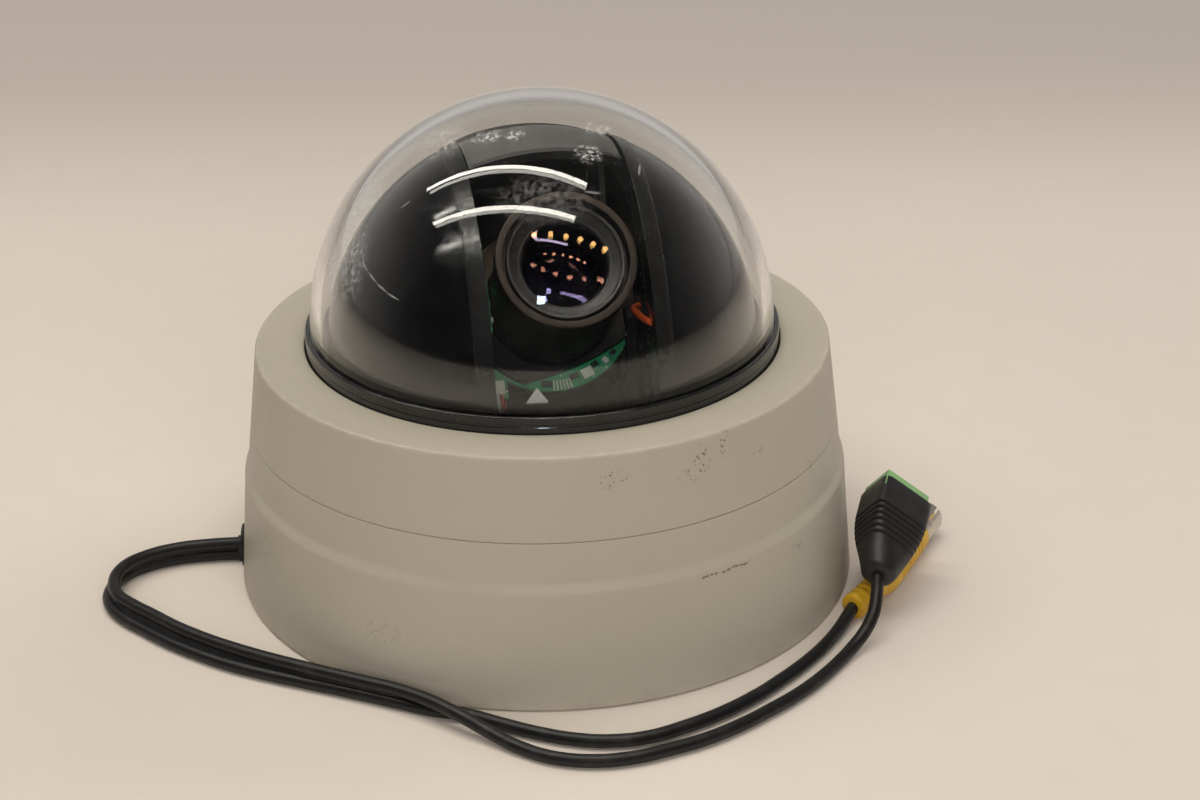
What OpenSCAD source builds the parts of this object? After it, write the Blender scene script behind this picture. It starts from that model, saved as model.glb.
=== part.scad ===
// Small pan-tilt-zoom dome camera for a ceiling. It stands on its mounting face
// with the clear dome up. Millimetres, +Z up, origin at the centre of the
// mounting face, -Y towards the side that the lens looks to.

/* [Housing] */
// Outer radius at the mounting face
base_r = 75; // [74.5:0.1:76]
// Outer radius at the top edge
top_r = 68.4; // [68:0.1:69]
// Height of the flat top face
housing_h = 59.6; // [59.4:0.1:60]
// Height of the joint between the lower and the upper shell
seam_z = 40; // [39.5:0.1:40.5]
// Wall thickness of both shells
wall = 2.5; // [2.3:0.1:2.7]

/* [Dome] */
// Outer radius of the clear dome
dome_r = 55.2; // [55:0.05:55.3]
// Wall thickness of the clear dome
dome_wall = 2.5; // [2:0.1:2.6]
// Height of the dome's centre, which is also the tilt axis
tilt_z = 63; // [62.8:0.1:63.2]

/* [Camera head] */
// Pan angle at rest, from straight ahead, in degrees
rest_pan = 9; // [0:1:20]
// Angle of the lens above the horizontal at rest, in degrees
rest_tilt = 39; // [30:1:50]
// Distance from the tilt axis to the front edge of the lens ring
lens_reach = 46; // [45.8:0.1:46.1]
// Outer radius of the lens ring
lens_ring_r = 15.65; // [15.5:0.01:15.7]

/* [Gears] */
// Teeth of the large pan gear
pan_teeth = 90; // [90]
// Teeth of the pan motor's pinion
pan_pinion_teeth = 15; // [15]
// Tooth module of the pan gears
pan_module = 0.8; // [0.8]
// Teeth of the large tilt gear
tilt_teeth = 60; // [60]
// Teeth of the tilt motor's pinion
tilt_pinion_teeth = 12; // [12]
// Tooth module of the tilt gears
tilt_module = 0.6; // [0.6]

/* [Cords] */
// Diameter of each cord of the twin lead
cord_d = 3; // [2.6:0.1:3]

/* [Hidden] */
$fn = 96;
e = 0.05;

// housing shells
step_low = [72.8, 27.8];
step_high = [71.7, 31.2];
edge_r = 0.6;
top_under_z = housing_h - wall;
opening_r = 56.7;
spigot_r = 68;
plate_t = 3;
plate_r = 71.5;

// levels of the inner stack, from the mounting face up
board_z = 6;
board_t = 1.6;
board_r = 52;
chassis_z = 20;
chassis_t = 2;
gear_z = 24;
gear_t = 4;
turntable_z = 28.5;
turntable_t = 2.5;
turntable_top = turntable_z + turntable_t;
turntable_r = 50;

// places of fasteners: [radius, first angle, count]
mount_holes = [60, 45, 4];
plate_screw_at = [64.5, 15, 4];
post_at = [58, 90, 3];
column_at = [62.8, 30, 3];
retainer_screw_at = [62.8, 0, 6];
standoff_at = [45, 60, 4];

// screws: [head radius, head height, shank radius, length under the head]
m3 = [2.8, 1.8, 1.4, 10];
m25 = [2.3, 1.6, 1.1, 6];

// dome stack
dome_in_r = dome_r - dome_wall;
ring_r = 56.4;
ring_top = tilt_z + 0.4;
flange_r = 59;
dome_foot_z = 52.4;
dome_flange_top = 54.8;
gasket_z = 51.2;
retainer_z = 49;
retainer_r = [53, 65];

// pan drive
pan_motor_r = pan_module * (pan_teeth + pan_pinion_teeth) / 2;
pan_motor_angle = 120;
race_r = [12, 14.2, 17.8, 20];
ball_r = 1.9;
ball_path_r = 16;
ball_count = 12;
hub_top = turntable_z - 0.3;

// head and liner
liner_z = 57.7;
liner_r = 51.6;
liner_wall = 1.6;
rail_r = 52;
slot_half = 18;
rail_half = 22;
arm_x = [18.6, 21.1];
shield_r = [45, 46.2];
shield_from = rest_tilt + 38;
shield_to = rest_tilt + 100;
bridge_r = [46.8, 48.2];
bridge_half = slot_half - 0.1;
bridge_from = 120;
tilt_drive_r = tilt_module * (tilt_teeth + tilt_pinion_teeth) / 2;
tilt_motor_y = tilt_drive_r * cos(45);
tilt_motor_z = tilt_z - tilt_drive_r * sin(45);
tilt_gear_x = 21.7;
tilt_gear_t = 3;
bracket_x = 25.6;
screw_spot = [8.5, 7.9];
board_edge_r = 20.2;
lens_mount_z = [9.6, 12.6];
lens_mount_r = [15, 19.6];
lens_mount_dip = 3.8;
lens_mount_bare = [248, 330];

// cord routes, from the wall of the housing to the far end
video_route = [
    [-76.2, 0, 1.6], [-84, -0.6, 1.6], [-91.6, -2.1, 1.6], [-98.6, -5.5, 1.6],
    [-103.6, -10.6, 1.6], [-105.7, -17.4, 1.6], [-104.6, -24.6, 1.6], [-100.8, -30.8, 1.6],
    [-95.2, -36.4, 1.6], [-88.6, -42.6, 1.6], [-81.4, -48.2, 1.6], [-74.2, -53, 1.6],
    [-66, -57.4, 1.6], [-57.6, -61.2, 1.6], [-49.2, -64.8, 1.6], [-41, -68.4, 1.6],
    [-33.4, -72, 1.6], [-26, -75.4, 1.6], [-18.5, -77.6, 1.6], [-10.4, -82, 1.6],
    [-2.4, -86, 1.6], [5.6, -88.8, 1.6], [13.6, -89.7, 1.6], [21.4, -88.4, 1.6],
    [29.4, -84.6, 1.6], [37.4, -79.6, 1.6], [45, -73.4, 1.6], [52, -66.2, 1.6],
    [58.6, -58.4, 1.6], [64, -50.6, 1.6], [67.6, -44.4, 1.8], [71.8, -37, 3.4]];
power_route = [
    [-76.2, 0, 4.7], [-84, -0.7, 4.7], [-91.4, -2.3, 4.7], [-98.2, -5.8, 4.7],
    [-102.8, -10.8, 4.7], [-104.4, -17.4, 4.7], [-103, -24.2, 4.6], [-98.8, -29.4, 4.5],
    [-93, -34.9, 4.5], [-86.8, -40.8, 4.5], [-80, -46.2, 4.5], [-72.8, -51.2, 4.6],
    [-64.8, -55.9, 4.6], [-56.6, -60.3, 4.7], [-48.6, -64.4, 4.8], [-40.8, -68.2, 4.8],
    [-33.2, -72, 4.8], [-26, -76.9, 4.7], [-19.4, -82.3, 4.1], [-13.2, -86.8, 2.6],
    [-6.4, -91.9, 1.7], [0.6, -95.8, 1.6], [8.6, -97.4, 1.6], [17, -96.6, 1.6],
    [25.4, -93.6, 1.6], [33.6, -89.8, 1.6], [41.4, -84.6, 1.6], [48.8, -78.4, 1.6],
    [55.6, -72, 1.6], [61.4, -65.2, 1.6], [66.4, -58.2, 1.6], [70, -53.2, 2.3],
    [73, -49.8, 4.2], [75.2, -46.8, 7], [76.3, -43.4, 9.6], [77.2, -38, 11.9]];

// connectors on the cords
adapter_tail = [77.2, -38, 11.9];
adapter_head = [84.6, -13.7, 19.4];
adapter_roll = 38.7;
adapter_l = norm(adapter_head - adapter_tail);
adapter_w = 14.5;
adapter_t = 11.5;
adapter_chamfer = 1.2;
terminal_low = [-6.8, -5.3, adapter_l - 3];
terminal_high = [5.8, 4.3, adapter_l + 2.2];
entry_x = [-3.6, 2.6];
entry_y = -0.6;
entry_r = 1.9;
entry_z = adapter_l - 1.6;
plug_flange = [71.8, -37, 3.4];
plug_start = [78.6, -28.5, 4.4];
plug_end = [95.7, 6.5, 4.4];
plug_l = norm(plug_end - plug_start);
boot_r = 4.3;
boot_l = 28;

// ---------- helpers ----------

// outer radius of the upper shell at a height
function upper_r(z) =
    step_high[0] - (z - step_high[1]) * (step_high[0] - top_r) / (housing_h - step_high[1]);

// points of an arc in the r-z plane
function arc(c, r, a0, a1, n) =
    [for (i = [0:n]) let (a = a0 + (a1 - a0) * i / n) [c[0] + r * cos(a), c[1] + r * sin(a)]];

// round bar with a hole, standing on z0
module tube(r_out, r_in, z0, z1) {
    translate([0, 0, z0]) difference() {
        cylinder(r = r_out, h = z1 - z0);
        translate([0, 0, -1]) cylinder(r = r_in, h = z1 - z0 + 2);
    }
}

// cylinder from z0 to z1
module rod(r, z0, z1) {
    translate([0, 0, z0]) cylinder(r = r, h = z1 - z0);
}

// box between two corners
module block(a, b) {
    translate(a) cube(b - a);
}

// copies around the Z axis at [radius, first angle, count]
module around(at) {
    for (i = [0:at[2] - 1])
        rotate([0, 0, at[1] + i * 360 / at[2]]) translate([at[0], 0, 0]) children();
}

// screw with its head from z = 0 up and its shank down
module screw(size) {
    cylinder(r = size[0], h = size[1]);
    translate([0, 0, -size[3]]) cylinder(r = size[2], h = size[3]);
}

// spur gear with straight-flanked teeth, one tooth centred on +X
function tooth(n, m, i) =
    let (rp = n * m / 2, step = 360 / n,
         half = 180 / PI / rp,
         tip = (PI * m / 4 - 0.075) * half - 0.42 * m * half,
         root = (PI * m / 4 - 0.075) * half + 0.34 * m * half)
    [for (c = [[rp - 1.15 * m, -root], [rp + 0.85 * m, -tip], [rp + 0.85 * m, tip],
               [rp - 1.15 * m, root]])
        c[0] * [cos(i * step + c[1]), sin(i * step + c[1])]];
module gear(n, m, t) {
    linear_extrude(t) polygon([for (i = [0:n - 1]) each tooth(n, m, i)]);
}

// pan frame, and the same frame with X along the tilt axis as its Z
module in_pan() {
    rotate([0, 0, rest_pan]) children();
}
module on_tilt_axis(x) {
    in_pan() translate([x, 0, tilt_z]) rotate([0, 90, 0]) children();
}

// head frame: Z along the optical axis, X along the tilt axis, Y up
module in_head() {
    in_pan() translate([0, 0, tilt_z]) rotate([90 - rest_tilt, 0, 0]) children();
}

// wedge of the pan frame's vertical plane, between two angles above the front
module wedge(from, to, half_x, r) {
    n = 8;
    rotate([90, 0, 90]) translate([0, 0, -half_x]) linear_extrude(2 * half_x)
        polygon(concat([[0, 0]],
            [for (i = [0:n]) let (a = from + (to - from) * i / n) 1.1 * r * [-cos(a), sin(a)]]));
}

// round tube swept along a route, eight-sided
function unit(v) = v / norm(v);
function route_dir(p, i) =
    unit(p[min(i + 1, len(p) - 1)] - p[max(i - 1, 0)]);
function ring_at(p, i, r) =
    let (t = route_dir(p, i), s = unit(cross(t, [0, 0, 1])), u = cross(s, t))
    [for (k = [0:7]) p[i] + r * (cos(45 * k + 22.5) * s + sin(45 * k + 22.5) * u)];
module sweep(p, r) {
    n = len(p);
    points = [for (i = [0:n - 1]) each ring_at(p, i, r)];
    sides = [for (i = [0:n - 2], k = [0:7])
        let (a = 8 * i + k, b = 8 * i + (k + 1) % 8)
        each [[a, a + 8, b], [b, a + 8, b + 8]]];
    caps = [[for (k = [0:7]) k], [for (k = [7:-1:0]) 8 * (n - 1) + k]];
    polyhedron(points, concat(sides, caps));
}

// puts +Z along the line from a to b, with the origin at a
module along(a, b) {
    d = b - a;
    translate(a) rotate([0, acos(d[2] / norm(d)), atan2(d[1], d[0])]) children();
}

// ---------- housing ----------

module base_plate() {
    color("darkgray") difference() {
        rod(plate_r, 0, plate_t);
        around(mount_holes) translate([0, 0, -1]) cylinder(r = 2.25, h = 5);
        around(plate_screw_at) {
            translate([0, 0, -1]) cylinder(r = 1.6, h = 5);
            translate([0, 0, -1]) cylinder(r = 3, h = 3);
        }
        block([-80, -6, -1], [-68, 6, 5]);
    }
}

module housing_base() {
    outer = concat([[base_r - edge_r, 0], [base_r, edge_r], step_low],
        [for (i = [1:5]) let (t = i / 6, s = t * t * (3 - 2 * t))
            [step_low[0] + (step_high[0] - step_low[0]) * s,
             step_low[1] + (step_high[1] - step_low[1]) * t]],
        [step_high, [upper_r(seam_z), seam_z]]);
    inner = [[upper_r(seam_z) - wall, seam_z], [step_high[0] - wall, step_high[1]],
        [step_low[0] - wall, step_low[1]], [base_r - wall, 0]];
    color([0.62, 0.6, 0.55]) difference() {
        union() {
            rotate_extrude($fn = 180) polygon(concat(outer, inner));
            around(plate_screw_at) {
                rod(4, plate_t, 14);
                block([0, -1.5, plate_t], [8.2, 1.5, 14]);
            }
            around(column_at) block([-3.8, -4.5, 33], [6.4, 4.5, 37]);
        }
        around(plate_screw_at) cylinder(r = 1.45, h = 13);
        around(column_at) translate([0, 0, 30]) cylinder(r = 1.6, h = 10);
        block([-80, -3.6, -1], [-66, 3.6, 6]);
        translate([-66, 0, 6]) rotate([0, -90, 0]) cylinder(r = 3.6, h = 14);
    }
}

module housing_cover() {
    top_edge = arc([top_r - 1, housing_h - 1], 1, 0, 90, 5);
    color([0.64, 0.62, 0.56]) difference() {
        union() {
            rotate_extrude($fn = 180) polygon(concat(
                [[upper_r(seam_z), seam_z]], top_edge,
                [[opening_r + 0.3, housing_h], [opening_r, housing_h - 0.3],
                 [opening_r, top_under_z], [top_r - wall, top_under_z],
                 [upper_r(44) - wall, 44], [spigot_r - 2.1, 44],
                 [spigot_r - 2.1, seam_z - 3],
                 [spigot_r, seam_z - 3], [spigot_r, seam_z]]));
            around(retainer_screw_at) rod(3, gasket_z, top_under_z + 0.5);
            around(column_at) {
                rod(3, seam_z - 3, top_under_z + 0.5);
                block([0, -1.5, seam_z - 3], [4.2, 1.5, top_under_z + 0.5]);
            }
        }
        around(retainer_screw_at) translate([0, 0, gasket_z - 1]) cylinder(r = 1.15, h = 5.5);
        around(column_at) translate([0, 0, 36]) cylinder(r = 1.45, h = 12);
    }
}

module clamp_ring() {
    color([0.05, 0.05, 0.05]) rotate_extrude($fn = 180) polygon([
        [dome_r + 0.3, dome_flange_top], [flange_r + 0.5, dome_flange_top],
        [flange_r + 0.5, top_under_z], [ring_r, top_under_z],
        [ring_r, ring_top - 0.5], [ring_r - 0.4, ring_top], [dome_r + 0.3, ring_top]]);
}

module dome_cover() {
    outer = arc([0, tilt_z], dome_r, 0, 90, 30);
    inner = arc([0, tilt_z], dome_in_r, 90, 0, 30);
    color([0.85, 0.88, 0.9, 0.3]) rotate_extrude($fn = 180) polygon(concat(
        [[dome_in_r, dome_foot_z], [flange_r, dome_foot_z], [flange_r, dome_flange_top],
         [dome_r, dome_flange_top]], outer, inner));
}

module dome_gasket() {
    color([0.12, 0.12, 0.12]) tube(flange_r, retainer_r[0], gasket_z, dome_foot_z);
}

module dome_retainer() {
    color([0.1, 0.1, 0.1]) difference() {
        tube(retainer_r[1], retainer_r[0], retainer_z, gasket_z);
        around(retainer_screw_at) translate([0, 0, retainer_z - 1]) cylinder(r = 1.3, h = 5);
        around(column_at) translate([0, 0, retainer_z - 1]) cylinder(r = 3.6, h = 5);
    }
}

// the same pan-head screws hold the plate, the cover and the chassis
module housing_screws() {
    color("silver") {
        around(plate_screw_at) translate([0, 0, 2]) mirror([0, 0, 1]) screw(m3);
        around(column_at) translate([0, 0, 33]) mirror([0, 0, 1]) screw(m3);
        around(post_at) translate([0, 0, chassis_z + chassis_t]) screw(m3);
    }
}

// small screws of the dome retainer, the main board and the pan motor
module small_screws() {
    color("silver") {
        around(retainer_screw_at) translate([0, 0, retainer_z]) mirror([0, 0, 1]) screw(m25);
        around(standoff_at) translate([0, 0, board_z + board_t])
            screw([m25[0], m25[1], m25[2], 4.5]);
        at_pan_motor() for (s = [-1, 1]) translate([0, 16.5 * s, chassis_z + chassis_t])
            screw([m25[0], 1.5, m25[2], 4]);
    }
}

// ---------- chassis and electronics in the base ----------

module chassis_posts() {
    color("silver") around(post_at) difference() {
        rod(3.5, plate_t, chassis_z);
        translate([0, 0, 9]) cylinder(r = 1.45, h = 12);
    }
}

module at_pan_motor() {
    rotate([0, 0, pan_motor_angle]) translate([pan_motor_r, 0, 0]) children();
}

module chassis_plate() {
    color("gainsboro") difference() {
        union() {
            rod(52, chassis_z, chassis_z + chassis_t);
            around(post_at) {
                rod(5.5, chassis_z, chassis_z + chassis_t);
                block([-10, -5.5, chassis_z], [0, 5.5, chassis_z + chassis_t]);
            }
        }
        translate([0, 0, chassis_z - 1]) cylinder(r = 12, h = 4);
        around(post_at) translate([0, 0, chassis_z - 1]) cylinder(r = 1.6, h = 4);
        at_pan_motor() {
            translate([0, 0, chassis_z - 1]) cylinder(r = 4.6, h = 4);
            for (s = [-1, 1]) translate([0, 16.5 * s, chassis_z - 1]) cylinder(r = 1.3, h = 4);
        }
        around([38, 0, 3]) translate([0, 0, chassis_z - 1]) cylinder(r = 7, h = 4);
    }
}

module pan_hub() {
    color("silver") difference() {
        union() {
            rod(race_r[0], chassis_z, hub_top);
            rod(15, chassis_z + chassis_t, gear_z - 0.6);
        }
        translate([0, 0, chassis_z - 1]) cylinder(r = 9, h = 12);
    }
}

module race(r_in, r_out, groove) {
    rotate_extrude() difference() {
        translate([r_in, gear_z - 0.6]) square([r_out - r_in, hub_top - gear_z + 0.6]);
        translate([ball_path_r, gear_z + 1.9]) circle(r = groove, $fn = 48);
    }
}

module bearing_inner() {
    color("lightgray") race(race_r[0], race_r[1], ball_r);
}

module bearing_outer() {
    color("lightgray") race(race_r[2], race_r[3], ball_r + e);
}

module bearing_balls() {
    color("white") around([ball_path_r, 0, ball_count])
        translate([0, 0, gear_z + 1.9]) sphere(r = ball_r, $fn = 32);
}

module main_board() {
    color([0.05, 0.35, 0.15]) difference() {
        rod(board_r, board_z, board_z + board_t);
        around(standoff_at) translate([0, 0, board_z - 1]) cylinder(r = 1.2, h = 4);
        block([-60, -7, board_z - 1], [-46, 7, board_z + 3]);
    }
}

module board_standoffs() {
    color("goldenrod") around(standoff_at) difference() {
        rod(2.8, plate_t, board_z);
        translate([0, 0, 2]) cylinder(r = 1.2, h = 5);
    }
}

// capacitors, a coil, chips and the two cable headers of the main board
module board_parts() {
    top = board_z + board_t;
    color([0.2, 0.2, 0.22]) {
        for (x = [10, 20, 30]) translate([x, -32, 0]) rod(4, top, top + 10);
        translate([-14, -30, 0]) rod(6, top, top + 6);
        block([12, 12, top], [26, 26, top + 1.4]);
        block([-14, -12, top], [-2, 0, top + 1.4]);
        block([-43, -9, top], [-35, 2, top + 7]);
        block([-43, 6, top], [-35, 14, top + 7]);
    }
}

module pan_motor() {
    color("lightslategray") at_pan_motor() difference() {
        union() {
            rod(12.5, 8.6, chassis_z);
            rod(4.5, chassis_z, chassis_z + 1.5);
            block([-3, -16.5, chassis_z - 1.2], [3, 16.5, chassis_z]);
            for (s = [-1, 1]) translate([0, 16.5 * s, 0]) rod(3, chassis_z - 1.2, chassis_z);
        }
        translate([0, 0, 10]) cylinder(r = 1.55, h = 14);
        for (s = [-1, 1]) translate([0, 16.5 * s, 15]) cylinder(r = 1.2, h = 7);
    }
}

module slip_ring_stator() {
    color("dimgray") difference() {
        union() {
            rod(8.9, 10, 27.6);
            rod(14, chassis_z - 1.5, chassis_z);
        }
        translate([0, 0, 12]) cylinder(r = 4.1, h = 20);
    }
}

// ---------- cords and connectors ----------

module cable_grommet() {
    color([0.06, 0.06, 0.06]) {
        block([-75.1, -3.6, 0.2], [-71.2, 3.6, 6]);
        translate([-71.2, 0, 6]) rotate([0, -90, 0]) cylinder(r = 3.6, h = 3.9);
        block([-76.2, -4.6, 0.2], [-75.1, 4.6, 10]);
        block([-71.2, -4.6, 0.2], [-69.6, 4.6, 10]);
    }
}

module power_cord() {
    color([0.05, 0.05, 0.07]) sweep(power_route, cord_d / 2);
}

module video_cord() {
    color([0.05, 0.05, 0.07]) sweep(video_route, cord_d / 2);
}

// frame of the power adapter: Z from the cord end to the terminals, X across
// its wide face, Y across its thickness
module in_adapter() {
    along(adapter_tail, adapter_head) rotate([0, 0, adapter_roll - 90]) children();
}

// outline of the adapter's head, smaller all round by an inset
module adapter_outline(inset) {
    w = adapter_w / 2 - inset;
    t = adapter_t / 2 - inset;
    c = adapter_chamfer;
    polygon([[c - w, -t], [w - c, -t], [w, c - t], [w, t - c],
             [w - c, t], [c - w, t], [-w, t - c], [-w, c - t]]);
}

module power_adapter() {
    color([0.07, 0.07, 0.07]) in_adapter() difference() {
        union() {
            hull() {
                cylinder(r = 3.4, h = 1, $fn = 32);
                translate([0, 0, 3]) cylinder(r = 4.5, h = 1, $fn = 32);
                translate([0, 0, 17]) linear_extrude(1) adapter_outline(0.5);
            }
            translate([0, 0, 17.9]) linear_extrude(adapter_l - 17.9) adapter_outline(0);
        }
        block(terminal_low, terminal_high);
    }
}

// terminal strip in the adapter's end, with an entry for each wire
module terminal_block() {
    color([0.35, 0.62, 0.35]) in_adapter() difference() {
        block(terminal_low, terminal_high);
        for (x = entry_x) translate([x, entry_y, entry_z])
            cylinder(r = entry_r, h = 5, $fn = 24);
    }
}

module terminal_screws() {
    color("silver") in_adapter() for (x = entry_x) translate([x, entry_y, entry_z])
        cylinder(r = entry_r - 0.1, h = 1, $fn = 24);
}

module video_plug_boot() {
    color([0.8, 0.6, 0.1]) {
        hull() {
            along(plug_flange, plug_start) cylinder(r = 3.2, h = 1.5, $fn = 32);
            along(plug_start, plug_end) cylinder(r = 3.6, h = 1, $fn = 32);
        }
        along(plug_start, plug_end) {
            hull() {
                cylinder(r = 3.6, h = 1, $fn = 32);
                translate([0, 0, 5]) cylinder(r = boot_r, h = 1, $fn = 32);
            }
            rod(boot_r, 5.9, boot_l);
        }
    }
}

module video_plug_shell() {
    color("silver") along(plug_start, plug_end) tube(4.15, 3.7, boot_l, plug_l);
}

module video_plug_pin() {
    color("gold") along(plug_start, plug_end) {
        rod(3.6, boot_l, boot_l + 1.2);
        rod(1.6, boot_l + 1.2, plug_l + 3);
    }
}

// ---------- pan body ----------

module turntable() {
    color([0.15, 0.15, 0.15]) in_pan() difference() {
        rod(turntable_r, turntable_z, turntable_top);
        translate([0, 0, turntable_z - 1]) cylinder(r = 4.6, h = 6);
        for (x = [-27, 31], y = [-10, 10]) translate([x, y, turntable_z - 1])
            cylinder(r = 1.2, h = 6);
    }
}

module pan_gear() {
    color("ivory") in_pan() rotate([0, 0, pan_motor_angle - rest_pan]) difference() {
        union() {
            translate([0, 0, gear_z]) gear(pan_teeth, pan_module, gear_t);
            rod(30, gear_z + gear_t - e, turntable_z);
        }
        translate([0, 0, gear_z - 1]) cylinder(r = race_r[3], h = 8);
        around([25.5, 30, 6]) translate([0, 0, gear_z - 1]) cylinder(r = 3.5, h = 4);
    }
}

// side arm with a round head at the tilt axis and a bored seat for its bush
module yoke_arm() {
    rotate([90, 0, 90]) linear_extrude(arm_x[1] - arm_x[0])
        difference() {
            union() {
                polygon([[-15, turntable_top], [15, turntable_top], [9, tilt_z], [-9, tilt_z]]);
                translate([0, tilt_z]) circle(r = 9);
            }
            translate([0, tilt_z]) circle(r = 4.5);
        }
}

module foot_holes(x) {
    for (y = [-10, 10]) translate([x, y, turntable_top - 1]) cylinder(r = 1.4, h = 4);
}

module yoke_left() {
    color([0.12, 0.12, 0.13]) in_pan() mirror([1, 0, 0]) difference() {
        union() {
            translate([arm_x[0], 0, 0]) yoke_arm();
            block([arm_x[1] - e, -15, turntable_top], [31, 15, turntable_top + 2]);
        }
        foot_holes(27);
    }
}

module yoke_right() {
    color([0.12, 0.12, 0.13]) in_pan() difference() {
        union() {
            translate([arm_x[0], 0, 0]) yoke_arm();
            block([arm_x[1] - e, -15, turntable_top], [35, 26, turntable_top + 2]);
            translate([bracket_x, 0, 0]) rotate([90, 0, 90]) linear_extrude(1.5) union() {
                polygon([[4.5, turntable_top], [26, turntable_top], [26, tilt_motor_z],
                         [4.5, tilt_motor_z]]);
                translate([tilt_motor_y, tilt_motor_z]) circle(r = 10.7);
            }
        }
        foot_holes(31);
        translate([bracket_x - 1, tilt_motor_y, tilt_motor_z]) rotate([0, 90, 0])
            cylinder(r = 3.6, h = 4);
    }
}

module yoke_screws() {
    color("silver") in_pan() for (x = [-27, 31], y = [-10, 10])
        translate([x, y, turntable_top + 2]) screw([2.3, 1.6, 1.1, 4.2]);
}

module tilt_bushes() {
    color("goldenrod") for (s = [-1, 1])
        on_tilt_axis(s > 0 ? arm_x[0] - 0.2 : -arm_x[1] - 0.2)
            tube(4.5, 3.05, 0, arm_x[1] - arm_x[0] + 0.4);
}

// solid of the liner's outline at a radius: a ball on top of a cylinder
module liner_solid(r) {
    rod(r, 29, liner_z);
    difference() {
        translate([0, 0, liner_z]) sphere(r = r, $fn = 180);
        rod(60, -10, liner_z);
    }
}

// black half shell beside the slot, with a raised rail along the slot
module liner_half() {
    difference() {
        union() {
            intersection() {
                liner_solid(liner_r);
                block([slot_half, -60, 0], [60, 60, 120]);
            }
            intersection() {
                liner_solid(rail_r);
                block([slot_half, -60, 29], [rail_half, 60, 120]);
            }
        }
        difference() {
            liner_solid(liner_r - liner_wall);
            intersection() {
                block([slot_half, -60, 33], [slot_half + 1.2, 60, 120]);
                difference() {
                    rotate([0, 90, 0]) translate([-liner_z, 0, 0]) cylinder(r = 60, h = 30);
                    translate([0, 0, liner_z]) rotate([0, 90, 0]) cylinder(r = 43.6, h = 30);
                    block([0, -41, 0], [30, 41, liner_z]);
                }
            }
        }
        rod(turntable_r, 28, turntable_top + 0.2);
    }
}

module liner_right() {
    color([0.04, 0.04, 0.04]) in_pan() liner_half();
}

module liner_left() {
    color([0.04, 0.04, 0.04]) in_pan() mirror([1, 0, 0]) liner_half();
}

// fixed strip that closes the slot at the back, outside the moving shield
module liner_bridge() {
    color([0.05, 0.05, 0.05]) in_pan() difference() {
        union() {
            intersection() {
                translate([0, 0, tilt_z]) sphere(r = bridge_r[1], $fn = 180);
                translate([0, 0, tilt_z]) wedge(bridge_from, 180, bridge_half, 60);
            }
            intersection() {
                rod(bridge_r[1], turntable_top, tilt_z);
                block([-bridge_half, 30, 0], [bridge_half, 60, 80]);
            }
        }
        translate([0, 0, tilt_z]) sphere(r = bridge_r[0], $fn = 180);
        rod(bridge_r[0], turntable_top + 2, tilt_z);
        rod(36, 20, 50);
    }
}

module rotor_board() {
    color([0.05, 0.4, 0.2]) in_pan() {
        block([-15, -40, turntable_top + 2], [15, -22, turntable_top + 3.6]);
        for (x = [-12, 12], y = [-37, -25]) translate([x, y, 0])
            rod(1.8, turntable_top, turntable_top + 2 + e);
        block([-9, -36, turntable_top + 3.6 - e], [1, -28, turntable_top + 5]);
        block([5, -37, turntable_top + 3.6 - e], [11, -27, turntable_top + 7]);
    }
}

module slip_ring_rotor() {
    color("dimgray") {
        rod(4, 13, turntable_top);
        rod(7, turntable_top, turntable_top + 1.5);
    }
}

module tilt_motor() {
    color("lightslategray") in_pan() translate([bracket_x + 1.5, tilt_motor_y, tilt_motor_z])
        rotate([0, 90, 0]) difference() {
            union() {
                cylinder(r = 10, h = 11.4);
                translate([0, 0, -1.5]) cylinder(r = 3.5, h = 2);
            }
            translate([0, 0, -2]) cylinder(r = 1.05, h = 10);
        }
}

// ---------- driven pinions ----------

module pan_pinion() {
    color("gold") at_pan_motor() {
        rotate([0, 0, 180 + 180 / pan_pinion_teeth])
            translate([0, 0, gear_z]) gear(pan_pinion_teeth, pan_module, gear_t);
        rod(1.5, 11, hub_top);
    }
}

module tilt_pinion() {
    color("gold") in_pan() translate([tilt_gear_x, tilt_motor_y, tilt_motor_z])
        rotate([0, 90, 0]) {
            rotate([0, 0, 45 + 180 + 180 / tilt_pinion_teeth])
                gear(tilt_pinion_teeth, tilt_module, tilt_gear_t);
            cylinder(r = 1, h = 11);
        }
}

// ---------- head: tilts about the X axis of the pan frame ----------

module head_frame() {
    color([0.1, 0.1, 0.1]) in_head() {
        for (s = [-1, 1]) {
            intersection() {
                translate([s > 0 ? 15.9 : -17.4, 0, 0]) rotate([0, 90, 0])
                    cylinder(r = 17, h = 1.5);
                block([-20, -20, -14.4], [20, 20, 8]);
            }
            translate([s > 0 ? 17.3 : -22.5, 0, 0]) rotate([0, 90, 0])
                cylinder(r = 3, h = s > 0 ? 8.1 : 5.2);
        }
        block([-17.4, -12, -16], [17.4, 12, -14.3]);
    }
}

module camera_block() {
    color([0.14, 0.14, 0.15]) in_head() difference() {
        block([-15.7, -13.5, -14.3], [15.7, 13.5, 8]);
        block([-14.5, -12.3, -13.1], [14.5, 12.3, 10]);
    }
}

module camera_board() {
    color([0.05, 0.45, 0.25]) in_head() difference() {
        intersection() {
            rod(board_edge_r, 8, 9.6);
            block([-17.4, -25, 0], [17.4, 25, 20]);
        }
        translate([0, 0, 7]) cylinder(r = 6.8, h = 4);
        for (s = [-1, 1]) translate([s * screw_spot[0], s * screw_spot[1], 7])
            cylinder(r = 1.4, h = 4);
    }
}

module sensor_board() {
    color([0.05, 0.4, 0.2]) in_head() {
        block([-14.4, -12.2, -6], [14.4, 12.2, -4.8]);
        block([-4, -4, -4.85], [4, 4, -3.4]);
    }
}

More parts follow.
